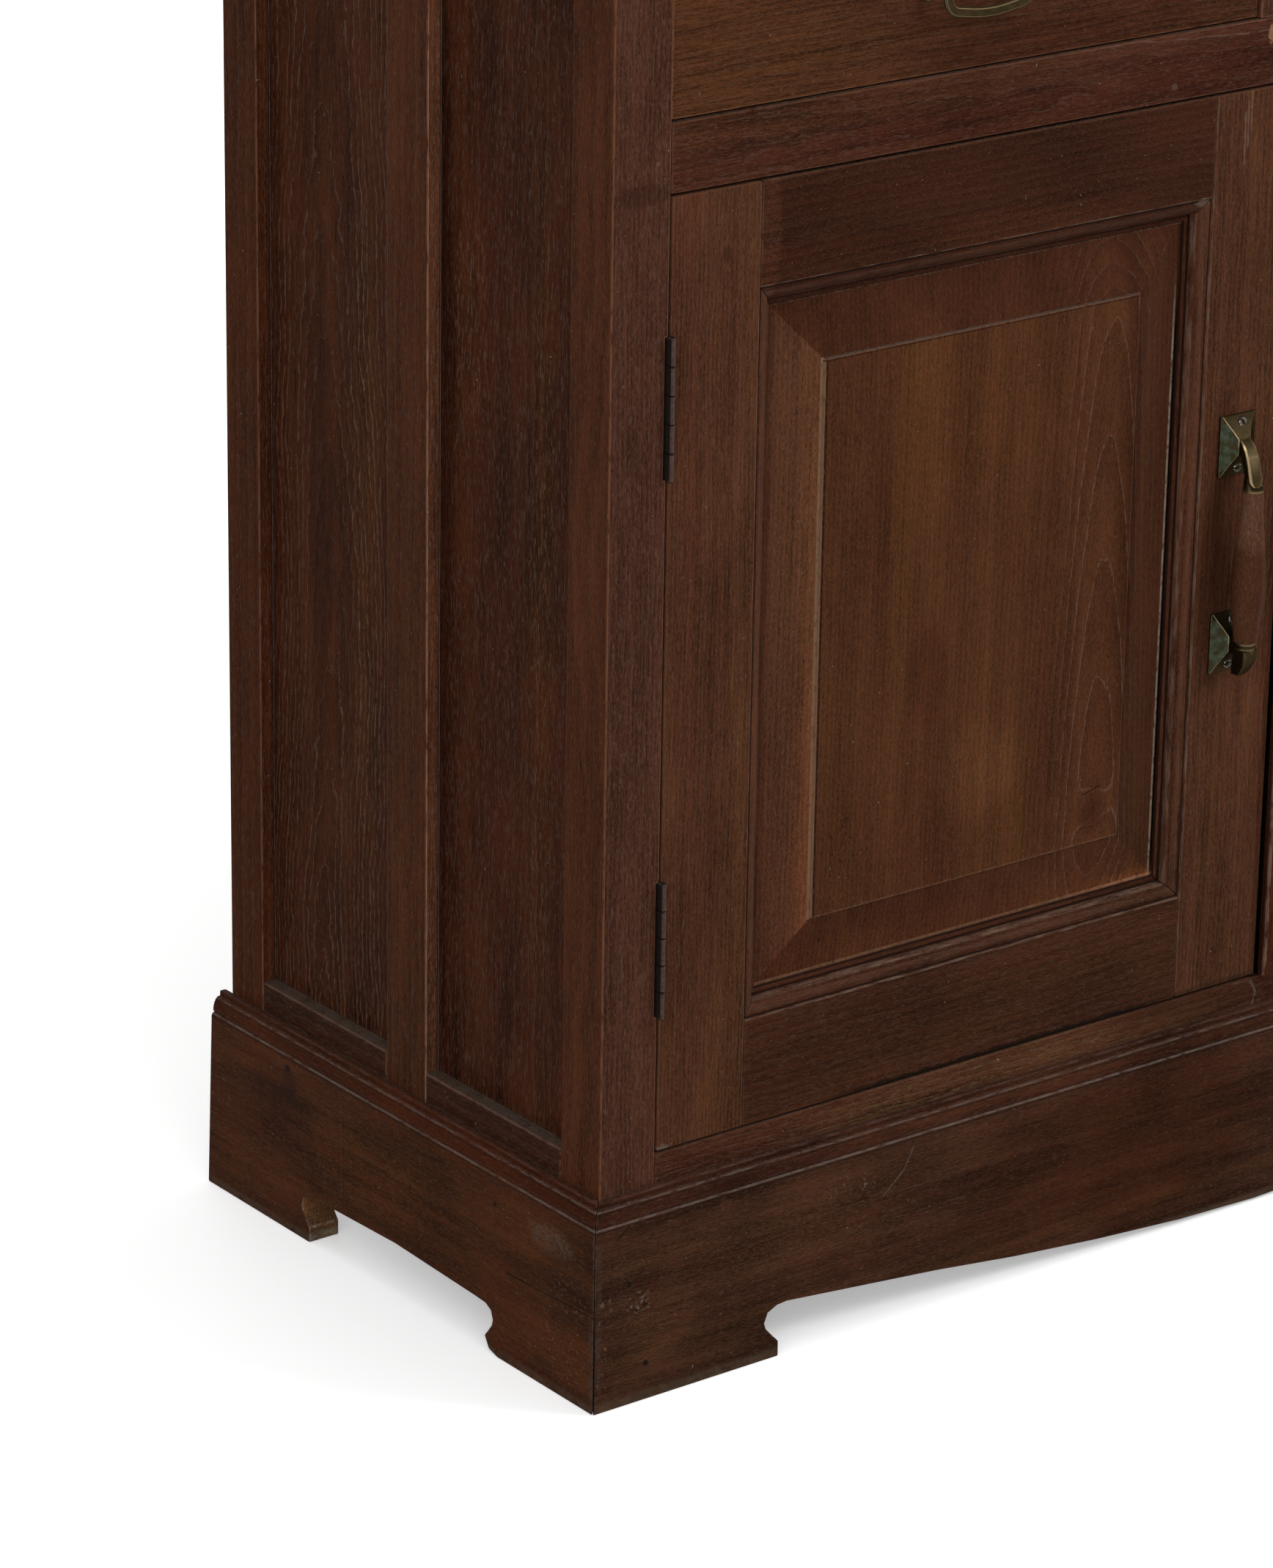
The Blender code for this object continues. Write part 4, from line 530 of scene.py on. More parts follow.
@mark
def door_moulding(net, colour, axis, flat, sign):
    """Worn arrises with a painted highlight, a painted light band on the ovolo and painted shade in the
    quirks of a door moulding; sign is the way from the flat to the panel.
    """
    x, y, z = net.place()
    way = net.times(net.less(net.size(x) if axis == "x" else z, flat), sign)
    rates = (0.6, 0.6, 0.07) if axis == "x" else (0.07, 0.6, 0.6)
    ragged = net.swing(net.scaled(*rates), 3.0, 0.65)
    colour = net.tint(net.ease(way, -0.2, 1.0, 0.0, 0.5), colour, (1.02, 0.93, 0.95))
    for middle, half, tone, amount, low, high in MOULDING_LINES:
        line = net.times(net.near(way, middle, half), net.ease(ragged, low, high), amount)
        colour = net.mix(line, colour, tone)
    return colour


@mark
def bead_side(net, colour):
    """The bead as seen from the left: painted shade in the gap, black deep in it and a darker, dark red side,
    and the worn arris lightened also as a painted highlight.
    """
    x, y, z = net.place()
    turn = net.times(net.normal()[0], -1.0)
    side = net.ease(turn, 0.5, 0.9)
    # painted shade: the bead's side, facing the gap, is darkened
    colour = net.tint(side, colour, (0.45, 0.34, 0.34))
    face = net.times(net.ease(y, -170.0, -171.0), net.less(1.0, side))
    colour = net.tint(face, colour, (0.86, 0.60, 0.62))
    # the arris: wear with a painted highlight
    arris = net.times(net.ease(turn, 0.20, 0.40), net.ease(turn, 0.93, 0.80), net.ease(y, -168.5, -169.5))
    grit = net.noise(net.scaled(0.4, 0.4, 0.06), 3.0, 0.65)
    colour = net.mix(net.times(arris, net.ease(grit, 0.38, 0.56), 0.7), colour, (0.21, 0.125, 0.092))
    # painted shade: black deep in the gap, most of all low down
    deep = net.times(net.ease(y, -167.6, -166.6), side, net.ease(z, 560.0, 300.0, 0.55, 1.0))
    return net.mix(deep, colour, (0.0008, 0.0006, 0.0005))


@mark
def panel_zones(net, colour, side):
    """The tones of a fielded panel: painted light and shade on its bevels by the way each faces, painted
    highlight and shadow lines at the field's edges, dusty ledges, worn arrises and the open shrinkage crack.
    """
    x, y, z = net.place()
    away = net.times(x, -1.0 if side == "left" else 1.0)
    left = net.less(PANEL_OUTER, away)
    right = net.less(away, PANEL_INNER)
    top = net.less(PANEL_TOP, z)
    foot = net.less(z, PANEL_FOOT)
    ragged = net.swing(net.scaled(0.4, 0.4, 0.25), 3.0, 0.65)

    def bevel(first, *others):
        inside = net.ease(first, BEVEL_WIDTH - 0.4, BEVEL_WIDTH + 0.4, 1.0, 0.0)
        return net.times(inside, *(net.ease(net.less(other, first), -0.5, 0.5) for other in others))

    left_bevel = bevel(left, top, foot, right)
    foot_bevel = bevel(foot, left, right, top)
    # painted light and shade: the left bevel lighter, most by the field and low down, darker by the frame;
    # the top, foot and right bevels darker; a painted glow on the foot bevel by the frame
    rim = net.times(left_bevel, net.ease(left, 14.0, BEVEL_WIDTH), net.ease(z, 500.0, 300.0, 0.35, 1.0))
    shade = net.times(left_bevel, net.ease(left, 9.0, 0.0), 0.8)
    glow = net.times(foot_bevel, net.ease(foot, 26.0, 3.0))
    for zone, tone in ((left_bevel, (1.24, 1.36, 1.60)),
                       (rim, (1.52, 1.46, 1.32)),
                       (shade, (0.62, 0.56, 0.60)),
                       (bevel(top, left, right, foot), (0.76, 0.70, 0.79)),
                       (foot_bevel, (0.84, 0.80, 0.86)),
                       (bevel(right, top, foot, left), (0.66, 0.66, 0.76)),
                       (glow, (1.22, 1.20, 1.16))):
        colour = net.tint(zone, colour, tone)

    def between(first, second):
        return net.ease(net.math("MINIMUM", first, second), BEVEL_WIDTH - 1.0, BEVEL_WIDTH - 0.2)

    inner, width = between(top, foot), between(left, right)
    edge = net.times(net.ease(z, 560.0, 520.0), net.ease(z, 205.0, 225.0))
    # painted highlight and shadow lines at the field's edges, dust on the ledges, and the dark open crack on
    # the right
    for value, middle, half, tone, amount, low, high in (
            (left, BEVEL_WIDTH - 0.7, 1.4, (0.250, 0.145, 0.085), net.times(inner, 0.95), -0.7, 0.1),
            (left, BEVEL_WIDTH + 1.3, 1.0, (0.010, 0.004, 0.003), net.times(inner, 0.9), -0.6, 0.2),
            (top, BEVEL_WIDTH - 0.1, 0.45, (0.090, 0.072, 0.062), net.times(width, 0.8), -0.6, 0.2),
            (top, 0.7, 0.7, (0.17, 0.10, 0.062), 0.7, -0.3, 0.3),
            (foot, 0.9, 1.3, (0.20, 0.105, 0.060), 0.8, -0.6, 0.2),
            (top, BEVEL_WIDTH + 1.1, 0.7, (0.020, 0.008, 0.005), net.times(width, 0.8), -0.6, 0.2),
            (foot, BEVEL_WIDTH + 0.2, 1.6, (0.210, 0.125, 0.070), net.times(width, 0.6), -0.3, 0.6),
            (right, BEVEL_WIDTH, 0.9, (0.110, 0.058, 0.034), net.times(inner, 0.4), -0.3, 0.5),
            (right, 2.4, 1.1, (0.27, 0.205, 0.160), net.times(edge, 0.8), -0.5, 0.2),
            (right, 0.5, 1.1, (0.001, 0.001, 0.001), edge, -2.0, -1.0)):
        line = net.times(net.near(value, middle, half), net.ease(ragged, low, high), amount)
        colour = net.mix(line, colour, tone)
    # painted glow towards the right of the foot bevel, by the frame
    glow = net.times(net.ease(foot, 10.0, 1.0), net.ease(right, 80.0, 8.0))
    return net.tint(glow, colour, (1.75, 1.65, 1.55))


@mark
def moulding_tone(net, colour):
    """A darker tone along the plinth's moulding, with grey dust in its grooves and painted shade in the dark
    quirks under them.
    """
    z = net.place()[2]
    colour = net.tint(net.ease(z, 105.4, 107.0), colour, (0.82, 0.70, 0.72))
    grit = net.noise(net.scaled(0.12, 0.12, 0.5), 3.0, 0.65)
    for height, half, high, share, tone in ((105.7, 0.6, (0.36, 0.56), 0.5, GROOVE_DUST),
                                            (114.6, 0.45, (0.36, 0.56), 0.45, GROOVE_DUST),
                                            # painted shade in the quirks under the grooves
                                            (104.5, 0.8, (0.34, 0.50), 0.6, (0.012, 0.007, 0.005)),
                                            (113.5, 0.6, (0.34, 0.50), 0.6, (0.012, 0.007, 0.005))):
        colour = net.mix(net.times(net.near(z, height, half), net.ease(grit, *high), share), colour, tone)
    return colour


@mark
def open_mitre(net, colour):
    """The dark open line at the foot of the plinth's front mitres."""
    x, y, z = net.place()
    across = net.size(net.add(net.size(x), PLINTH_END))
    gap = net.math("MAXIMUM", across, net.size(net.less(y, PLINTH_FACE)))
    dark = net.times(net.ease(gap, 0.5, 1.3, 1.0, 0.0), net.ease(z, 70.0, 40.0))
    return net.mix(dark, colour, (0.002, 0.0015, 0.001))


@mark
def back_nails(net, colour):
    """Rusty nail heads in rows across the back boards, one near each edge of a board."""
    x, y, z = net.place()
    step = net.times(x, 1.0 / BACK_PITCH)
    share = net.less(step, net.math("FLOOR", step))
    aside = net.times(net.less(net.size(net.less(share, 0.5)), 0.15), BACK_PITCH)
    rows = [net.size(net.less(z, height)) for height in BACK_ROWS]
    away = reduce(lambda first, second: net.math("MINIMUM", first, second), rows)
    sway = net.times(net.swing(net.scaled(0.02, 0.02, 0.02), 1.0), 3.0)
    far = net.math("SQRT", net.add(net.times(aside, aside), net.math("POWER", net.add(away, sway), 2.0)))
    colour = net.tint(net.ease(far, 3.0, 7.0, 0.55, 0.0), colour, (0.45, 0.36, 0.32))
    return net.mix(net.ease(far, 1.6, 2.3, 0.9, 0.0), colour, (0.020, 0.011, 0.008))


def left_only(side, *marks):
    """Marks that the photo shows on the left half; the right half keeps its own plain boards."""
    return marks if side == "left" else ()


# Materials of metal


def brass(name, seed, rub=1.0):
    """Aged brass: brown with olive bloom, green in the scooped facets, rubbed bright along the ridges;
    painted shade on its faces turned to the left and in its corners.
    """
    net = Net(name)
    x, y, z = net.place()
    place = net.join(net.add(x, seed * 19.0), y, z)
    bloom = net.noise(net.vector("MULTIPLY", place, (0.22, 0.22, 0.22)), 4.0, 0.6)
    grain = net.noise(net.vector("MULTIPLY", place, (1.8, 1.8, 1.8)), 3.0, 0.6)
    colour = net.mix(net.ease(bloom, 0.30, 0.68), (0.034, 0.021, 0.0085), (0.018, 0.0145, 0.0062))
    slope = net.times(net.normal()[0], -1.0)
    scooped = net.times(net.ease(slope, 0.12, 0.30), net.ease(slope, 0.80, 0.92, 1.0, 0.0),
                        net.ease(y, -176.0, -173.5))
    green = net.ease(net.add(net.times(grain, 0.5), net.times(bloom, 0.5)), 0.40, 0.60)
    patina = net.mix(green, (0.015, 0.017, 0.009), (0.050, 0.058, 0.036))
    colour = net.mix(net.times(scooped, net.ease(bloom, 0.30, 0.46)), colour, patina)
    # painted shade: faces turned to the left are darkened
    colour = net.mix(net.ease(slope, 0.80, 0.95, 0.0, 0.75), colour, (0.024, 0.0125, 0.0052))
    colour = net.mix(net.ease(grain, 0.50, 0.75, 0.0, 0.6), colour, (0.014, 0.010, 0.006))
    # painted shade: near black in the corners
    corner = net.ease(net.corner(0.004), 0.30, 0.62)
    colour = net.mix(net.times(corner, 0.75), colour, (0.006, 0.005, 0.003))
    # rubbed bright by the wear data; on the pull's arm that data also holds painted highlights
    bright = net.times(net.worn(), net.ease(grain, 0.25, 0.6, 0.4, 0.9), rub)
    colour = net.mix(bright, colour, (0.36, 0.26, 0.14))
    net.bump(net.add(net.times(grain, 0.5), bloom), 0.00015, 0.5)
    net.shader.inputs["Specular Tint"].default_value = opaque(BRASS_EDGE)
    rough = net.add(0.34, net.times(grain, 0.25), net.times(bright, -0.08))
    return net.finish(colour, rough, 0.3, 0.85)


def steel(name, middle, foot, length):
    """Dark old steel of a hinge with rust bloom and dark knuckle joints; painted shade along the barrel's
    sides, a painted highlight down its crest and painted highlights beside the joints.
    """
    net = Net(name)
    x, y, z = net.place()
    grain = net.noise(net.scaled(0.9, 0.9, 0.9), 4.0, 0.65)
    colour = net.mix(net.ease(grain, 0.35, 0.7), (0.080, 0.050, 0.041), (0.040, 0.024, 0.019))
    aside = net.less(x, middle)
    # painted shade: both sides of the barrel darkened
    edge = net.math("MAXIMUM", net.ease(aside, 0.75, 1.1), net.ease(aside, -1.30, -1.5))
    colour = net.mix(net.times(edge, 0.9), colour, (0.006, 0.0042, 0.0035))
    step = net.times(net.less(z, foot), HINGE_KNUCKLES / length)
    share = net.size(net.less(step, net.math("FLOOR", net.add(step, 0.5))))
    joint = net.times(share, length / HINGE_KNUCKLES)
    colour = net.mix(net.ease(joint, 0.3, 0.7, 0.9, 0.0), colour, (0.003, 0.002, 0.002))
    # painted highlights: light flecks beside each joint
    joint_highlight = net.times(net.ease(net.size(net.less(joint, 0.9)), 0.2, 0.6, 1.0, 0.0), net.ease(aside, -0.2, 0.4))
    colour = net.mix(net.times(joint_highlight, net.ease(grain, 0.46, 0.58), 0.8), colour, (0.19, 0.145, 0.125))
    # painted highlight down the barrel's crest
    crest = net.near(x, middle + 0.7, 0.5, 0.3)
    colour = net.mix(net.times(crest, net.ease(grain, 0.42, 0.62), 0.45), colour, (0.10, 0.080, 0.072))
    net.bump(grain, 0.0002, 0.5)
    return net.finish(colour, net.add(0.55, net.times(grain, 0.2)), 0.1, 0.25)


def screw_metal(name):
    """Dark screw heads with rubbed rims."""
    net = Net(name)
    grain = net.noise(net.scaled(1.1, 1.1, 1.1), 3.0, 0.6)
    colour = net.mix(grain, (0.016, 0.013, 0.010), (0.034, 0.027, 0.020))
    colour = net.mix(net.times(net.worn(), net.ease(grain, 0.42, 0.62)), colour, (0.34, 0.29, 0.23))
    net.bump(grain, 0.0002, 0.5)
    return net.finish(colour, 0.42, 0.3, 0.6)


# Dressed boards


@contextmanager
def editing(mesh):
    """The mesh as an open form, written back at the end."""
    form = bmesh.new()
    form.from_mesh(mesh)
    yield form
    form.to_mesh(mesh)
    form.free()


def dressed(node, material, width=WORN_WIDTH, change=None):
    """A copy of a CAD piece with its arrises worn round, in its place."""
    mesh = frame["nodes"][node].data.copy()
    with editing(mesh) as form:
        bmesh.ops.remove_doubles(form, verts=form.verts, dist=MERGE)
        bmesh.ops.dissolve_limit(form, angle_limit=FLAT, verts=form.verts, edges=form.edges)
        if change:
            change(form)
        weight = form.edges.layers.float.new("bevel_weight_edge")
        for edge in form.edges:
            if edge.is_manifold and edge.calc_face_angle_signed(0.0) > SHARP:
                room = min(breadth(face, edge) for face in edge.link_faces)
                edge[weight] = min(1.0, 0.42 * room / width)
    piece = placed("look_" + node, mesh, material)
    bevel = piece.modifiers.new("arrises", "BEVEL")
    bevel.width = width
    bevel.segments = 2
    bevel.limit_method = "WEIGHT"
    bevel.use_clamp_overlap = False
    bevel.material = 1
    mesh.materials.append(material)
    settle(piece)
    finish_arrises(piece)
    stand_for(piece, node)
    return piece


def breadth(face, edge):
    """How far a face reaches from one of its edges."""
    start, end = (vert.co for vert in edge.verts)
    along = (end - start).normalized()
    offsets = [vert.co - start for vert in face.verts]
    return max((away - along * away.dot(along)).length for away in offsets)


def finish_arrises(piece):
    """Marks the rounded arrises as worn and smooths the shading."""
    mesh = piece.data
    worn = mesh.attributes.new("worn", "FLOAT", "FACE")
    worn.data.foreach_set("value", [float(face.material_index == 1) for face in mesh.polygons])
    for face in mesh.polygons:
        face.material_index = 0
    mesh.materials.pop(index=1)
    smooth(piece)


def smooth(piece):
    """Smooth shading that keeps flat faces flat and breaks at sharp edges."""
    with editing(piece.data) as form:
        for face in form.faces:
            face.smooth = True
        for edge in form.edges:
            edge.smooth = not edge.is_manifold or edge.calc_face_angle(0.0) < SMOOTH
    piece.modifiers.new("weighted", "WEIGHTED_NORMAL").keep_sharp = True
    settle(piece)


def linked(name, data):
    """A new object in the scene."""
    item = bpy.data.objects.new(name, data)
    bpy.context.scene.collection.objects.link(item)
    return item


def placed(name, mesh, material):
    mesh.materials.clear()
    mesh.materials.append(material)
    return linked(name, mesh)


def settle(piece):
    """Applies the piece's modifiers."""
    graph = bpy.context.evaluated_depsgraph_get()
    mesh = bpy.data.meshes.new_from_object(piece.evaluated_get(graph), depsgraph=graph)
    piece.modifiers.clear()
    piece.data = mesh


def stand_for(piece, node):
    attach(piece, frame["nodes"][node]["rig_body"])
    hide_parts(node)


def board(node, slot, marks=(), **look):
    """One CAD board dressed in its own timber."""
    return dressed(node, timber(node, marks, **look))


def carcase_side(side, seed):
    """Posts, rails, muntin and panels of one side."""
    end = "_" + side
    sign = -1 if side == "left" else 1
    recess = dict(grain="y", face="x", tone=SIDE_RAIL)
    board("front_post" + end, "frame_teak", (
        # painted light and shade: the post's outward side face is tinted darker and warmer than its front
        facing("x", sign, (0.94, 0.77, 0.55)),
        *left_only(side,
                   spot((-433.1, FACE, 669.9), (1.3, 2.0, 1.3), (0.14, 0.060, 0.045), 0.9, 0.2),
                   cloud((-443.0, FACE, 655.0), (20.0, 8.0, 6.0), (0.72, 0.70, 0.72)))),
          seed=seed + 1, tone=POST_FRONT, pore=0.35, fleck=0.45, line=0.2, ring=3.0, streak=0.5,
          pore_size=(1.5, 0.25), gold=0.25)
    # recess_line paints light on the recess walls and shade in their corner
    board("back_post" + end, "frame_teak", (recess_line((1.40, 1.55, 2.2)),), seed=seed + 2, face="x",
          tone=REAR_POST, speck=1.1)
    ledge = band("z", RECESS_FOOT, 1.3, (0.110, 0.082, 0.066), 0.45, -0.5, 0.3)
    board("side_bottom_rail" + end, "side_teak", (ledge,), seed=seed + 3, dust=1.0, **recess)
    board("side_top_rail" + end, "side_teak", seed=seed + 4, **recess)
    # recess_line paints light on the recess walls and shade in their corner
    board("side_muntin" + end, "side_teak", (recess_line((2.3, 2.8, 3.4)),), seed=seed + 5, face="x",
          tone=MUNTIN, wear=1.0)
    board("side_panel_back" + end, "side_teak", left_only(
        side,
        cloud((0, 103.0, 430.0), (0, 13.0, 170.0), (0.66, 0.66, 0.70)),
        cloud((0, 62.0, 420.0), (0, 15.0, 260.0), (1.26, 1.34, 1.14))),
          seed=seed + 6, face="x", tone=PANEL_REAR, pith=(98.0, sign * RECESS - 1.0), rise=0.06, ring=3.6,
          line=1.5, wave=9.0, jag=2.2, kink=0.08, line_width=0.75, pore=0.3, mottle=1.2, thin=0.12)
    board("side_panel_front" + end, "side_teak", left_only(
        side,
        cloud((0, -98.0, 440.0), (0, 12.0, 240.0), (1.42, 1.46, 1.22)),
        cloud((0, -8.0, 480.0), (0, 12.0, 300.0), (0.64, 0.60, 0.62)),
        cloud((0, -34.0, 560.0), (0, 16.0, 70.0), (1.45, 1.50, 1.42))),
          seed=seed + 7, face="x", tone=PANEL_FRONT, pith=(-260.0, sign * RECESS), ring=5.0, line=0.4,
          wave=12.0, jag=1.8, kink=0.06, pore=0.45, fleck=0.6, mottle=1.5, streak=1.0)


# What the boards of the plinth have in common
PLINTH = dict(dust=0.9, wear=0.5, mottle=1.6, line=0.2, wave=6.0, pore=0.35, worn_tone=GROOVE_DUST,
              broken=0.10)


def plinth_side(side, seed):
    """One side board of the plinth, with the nails, scrapes and chips of the left one."""
    rust = (0.010, 0.006, 0.0045)

    def at(y, z):
        return PLINTH_END, y, z

    marks = left_only(
        side,
        spot(at(109.7, 98.6), (4.0, 2.6, 2.2), rust, 0.95, 0.3),
        spot(at(108.0, 91.0), (6.0, 7.0, 9.0), (0.014, 0.008, 0.006), 0.5, 0.8),
        spot(at(-86.9, 89.4), (4.0, 1.6, 1.5), rust, 0.9, 0.3),
        cloud(at(-137.0, 87.0), (0, 22.0, 10.0), (1.35, 1.60, 1.95)),
        chips(at(-137.0, 87.0), (9.0, 22.0, 9.0), (0.085, 0.068, 0.052), 0.50),
        chips(at(-131.0, 82.0), (9.0, 18.0, 8.0), (0.012, 0.008, 0.006), 0.58),
        chips(at(-150.0, 40.0), (9.0, 26.0, 34.0), (0.150, 0.090, 0.055)),
        chips(at(-146.0, 42.0), (9.0, 12.0, 12.0), (0.014, 0.009, 0.006), 0.52),
        band("z", 3.0, 3.5, (0.095, 0.066, 0.046), 0.55, -0.5, 0.3),
        band("y", -172.5, 3.0, (0.080, 0.062, 0.050), 0.5, -0.2, 0.4, ("z", 2.0, 60.0, 12.0)),
        facing("y", -1, (3.3, 4.6, 5.2)),
        scratch(at(58.0, 100.0), at(57.0, 44.0), 0.8, (0.085, 0.055, 0.038), 0.3),
        scratch(at(-97.0, 53.4), at(-176.0, 56.5), 0.7, (0.006, 0.003, 0.002), 0.75),
        cloud(at(30.0, 62.0), (0, 70.0, 26.0), (1.25, 1.30, 1.15)),
        cloud(at(118.0, 80.0), (0, 40.0, 16.0), (0.75, 0.72, 0.75)),
        cloud(at(-150.0, 66.0), (0, 26.0, 24.0), (0.80, 0.82, 0.86)),
        chips(at(-158.0, 46.0), (9.0, 18.0, 40.0), (0.130, 0.090, 0.062), 0.63))
    board("plinth_" + side, "plinth_teak", (moulding_tone(), *marks, open_mitre()), seed=seed + 8, grain="y",
          face="x", tone=PLINTH_SIDE_TONE, late=0.3, pith=(40.0, -620.0), **PLINTH)


def plinth_front():
    """The front board of the plinth, with its nails, scratches and chips."""
    def at(x, z):
        return x, PLINTH_FACE, z

    marks = [spot(at(x, z), (size, 4.0, size), (0.010, 0.005, 0.004), 0.95, 0.3) for x, z, size in
             ((-384.6, 99.6, 1.8), (-448.2, 70.1, 1.6), (-437.3, 56.0, 1.4), (-436.7, 21.6, 1.8))]
    marks += [cloud(at(-329.0, 68.0), (80.0, 0, 24.0), (1.26, 1.30, 1.20)),
              cloud(at(-427.0, 44.0), (26.0, 0, 26.0), (1.22, 1.26, 1.20)),
              cloud(at(-100.0, 60.0), (130.0, 0, 60.0), (0.84, 0.69, 0.60)),
              chips(at(-300.0, 88.0), (26.0, 4.0, 9.0), (0.16, 0.125, 0.095), 0.64),
              chips(at(-471.0, 40.0), (16.0, 8.0, 40.0), (0.135, 0.070, 0.038)),
              chips(at(-385.0, 60.0), (90.0, 8.0, 42.0), (0.110, 0.070, 0.046), 0.66),
              scratch(at(-276.0, 76.0), at(-262.0, 88.0), 0.7, (0.13, 0.10, 0.08), 0.6),
              scratch(at(-262.0, 88.0), at(-256.0, 100.0), 0.7, (0.13, 0.10, 0.08), 0.5),
              scratch(at(-456.0, 98.0), at(-449.0, 104.0), 1.0, (0.012, 0.007, 0.005), 0.7),
              spot(at(-384.6, 99.6), (4.4, 4.0, 2.6), (0.085, 0.030, 0.020), 0.6, 0.6),
              chips(at(-441.0, 58.0), (9.0, 4.0, 8.0), (0.170, 0.125, 0.090), 0.56),
              band("z", 3.0, 4.5, (0.100, 0.072, 0.048), 0.55, -0.5, 0.3),
              band("x", -468.0, 3.0, (0.080, 0.062, 0.050), 0.5, -0.2, 0.4, ("z", 2.0, 100.0, 12.0)),
              cloud(at(-454.0, 70.0), (16.0, 0, 26.0), (1.14, 1.20, 1.28)),
              moulding_tone(), open_mitre()]
    board("plinth_front", "plinth_teak", marks, seed=65, grain="x", tone=PLINTH_FRONT_TONE, late=0.4,
          fleck=0.35, pith=(120.0, -300.0), ring=6.0, **PLINTH)


def door(side, seed):
    """Stiles, rails and fielded panel of one door."""
    name = "door_" + side
    sign = -1.0 if side == "left" else 1.0

    def at(x, z):
        return x, FACE, z

    stile = dict(tone=STILE, line=0.25, late=0.6, fleck=0.25, wear=0.25)
    board(name + "_hinge_stile", "door_teak", (
        door_moulding("x", 367.2, -1.0),
        *left_only(side,
                   spot(at(-388.7, 617.1), (3.2, 3.0, 4.6), tinted(STILE, 0.62), 0.7, 0.15),
                   spot(at(-419.5, 137.8), (5.0, 6.0, 2.0), (0.150, 0.115, 0.090), 0.6, 1.4))),
          seed=seed + 9, ring=2.6, **stile)
    broken = spot(at(-67.5, 594.5), (5.0, 9.0, 2.4), (0.150, 0.105, 0.082), 0.6, 1.4)
    streaks = [scratch(at(-36.5 - 2 * i, 652.0 - 6 * i), at(-36.0 - 2 * i, 630.0 - 9 * i), 0.8,
                       (0.16, 0.10, 0.070), 0.7) for i in range(3)]
    bead = () if side == "left" else (bead_side(),)
    board(name + "_meeting_stile", "door_teak", (
        door_moulding("x", 60.7, 1.0), *bead,
        *left_only(side, *streaks, broken,
                   # painted shadow: a dark ragged line along the foot of the door
                   band("z", 137.5, 3.0, (0.016, 0.010, 0.008), 0.7, -0.5, 0.2),
                   # painted shadow of the pull: a darker patch left of the grip
                   cloud(at(-44.0, 395.0), (15.0, 0, 95.0), (0.74, 0.69, 0.67)))),
          seed=seed + 10, ring=3.2, **stile)
    board(name + "_top_rail", "door_teak", (
        door_moulding("z", 596.4, -1.0),
        *left_only(side,
                   cloud(at(-361.0, 620.0), (8.0, 0, 40.0), (1.55, 1.60, 1.60)),
                   cloud(at(-190.0, 603.0), (90.0, 0, 12.0), (1.28, 1.28, 1.22)), broken)),
          seed=seed + 11, grain="x", tone=DOOR_TOP, pore_size=(1.3, 0.7), fleck=0.20, fibre=0.5, streak=0.4,
          dust=0.9, line=0.15, wear=0.35)
    # painted shadow: a dark ragged line along the foot of the door, over the gap to the bottom rail
    foot = band("z", 136.6, 3.2, (0.006, 0.004, 0.003), 0.95, -0.9, -0.1, ("x", -330.0, -45.0, 60.0))
    board(name + "_bottom_rail", "door_teak", (door_moulding("z", 197.0, 1.0), *left_only(side, foot)),
          seed=seed + 12, grain="x", tone=DOOR_BOTTOM, fleck=0.3, dust=0.9, line=0.15, fibre=0.5, streak=0.6,
          wear=0.3)
    figure = left_only(
        side,
        cloud((-125.2, 0, 262.0), (12.0, 0, 15.0), (0.70, 0.66, 0.70)),
        scratch((-133.0, FIELD_FACE, 272.0), (-121.5, FIELD_FACE, 275.0), 0.55, (0.004, 0.002, 0.001), 0.8),
        cloud((-212.0, 0, 305.0), (34.0, 0, 32.0), (1.24, 1.28, 1.30)),
        cloud((-246.0, 0, 365.0), (16.0, 0, 30.0), (0.84, 0.78, 0.80)),
        cloud((-230.0, 0, 500.0), (60.0, 0, 60.0), (1.08, 1.08, 1.02)),
        cloud((-110.0, 0, 440.0), (10.0, 0, 200.0), (0.78, 0.74, 0.74)))
    board(name + "_panel", "panel_teak", (*figure, panel_zones(side)), seed=seed + 13, tone=FIELD, line=1.6,
          late=0.5, wave=1.0, jag=0.45, gold=0.6, pith=(sign * 124.0, -186.2), rise=0.045, ring=3.0,
          line_width=0.6, fibre=0.45, pore=0.2, fleck=0.15, kink=0.02, thin=0.05, spread=36.0, even=0.85,
          streak=0.5, mottle=0.6, knot=(sign * 125.0, 262.0, 13.0, 5.0))


def drawer(side, seed):
    """Front, box and bottom of one drawer."""
    board("drawer_" + side + "_front", "drawer_teak", left_only(
        side,
        cloud((-390.0, 0, 715.0), (110.0, 0, 60.0), (1.24, 1.27, 1.15)),
        cloud((-190.0, 0, 696.0), (80.0, 0, 16.0), (0.86, 0.80, 0.84))),
          seed=seed + 14, grain="x", tone=DRAWER_FACE, ring=3.5, line=0.25, late=0.6, gold=0.5, fleck=0.25,
          pith=(500.0, -165.0), wave=5.0)
    inner = dict(tone=INNER, gold=0.15, dust=0.4, late=0.5, face="z")
    board("drawer_" + side + "_box", "inner_teak", seed=seed + 15, grain="y", mottle=0.3, streak=0.5,
          speck=0.6, **inner)
    board("drawer_" + side + "_bottom", "inner_teak", seed=seed + 16, grain="x", **inner)


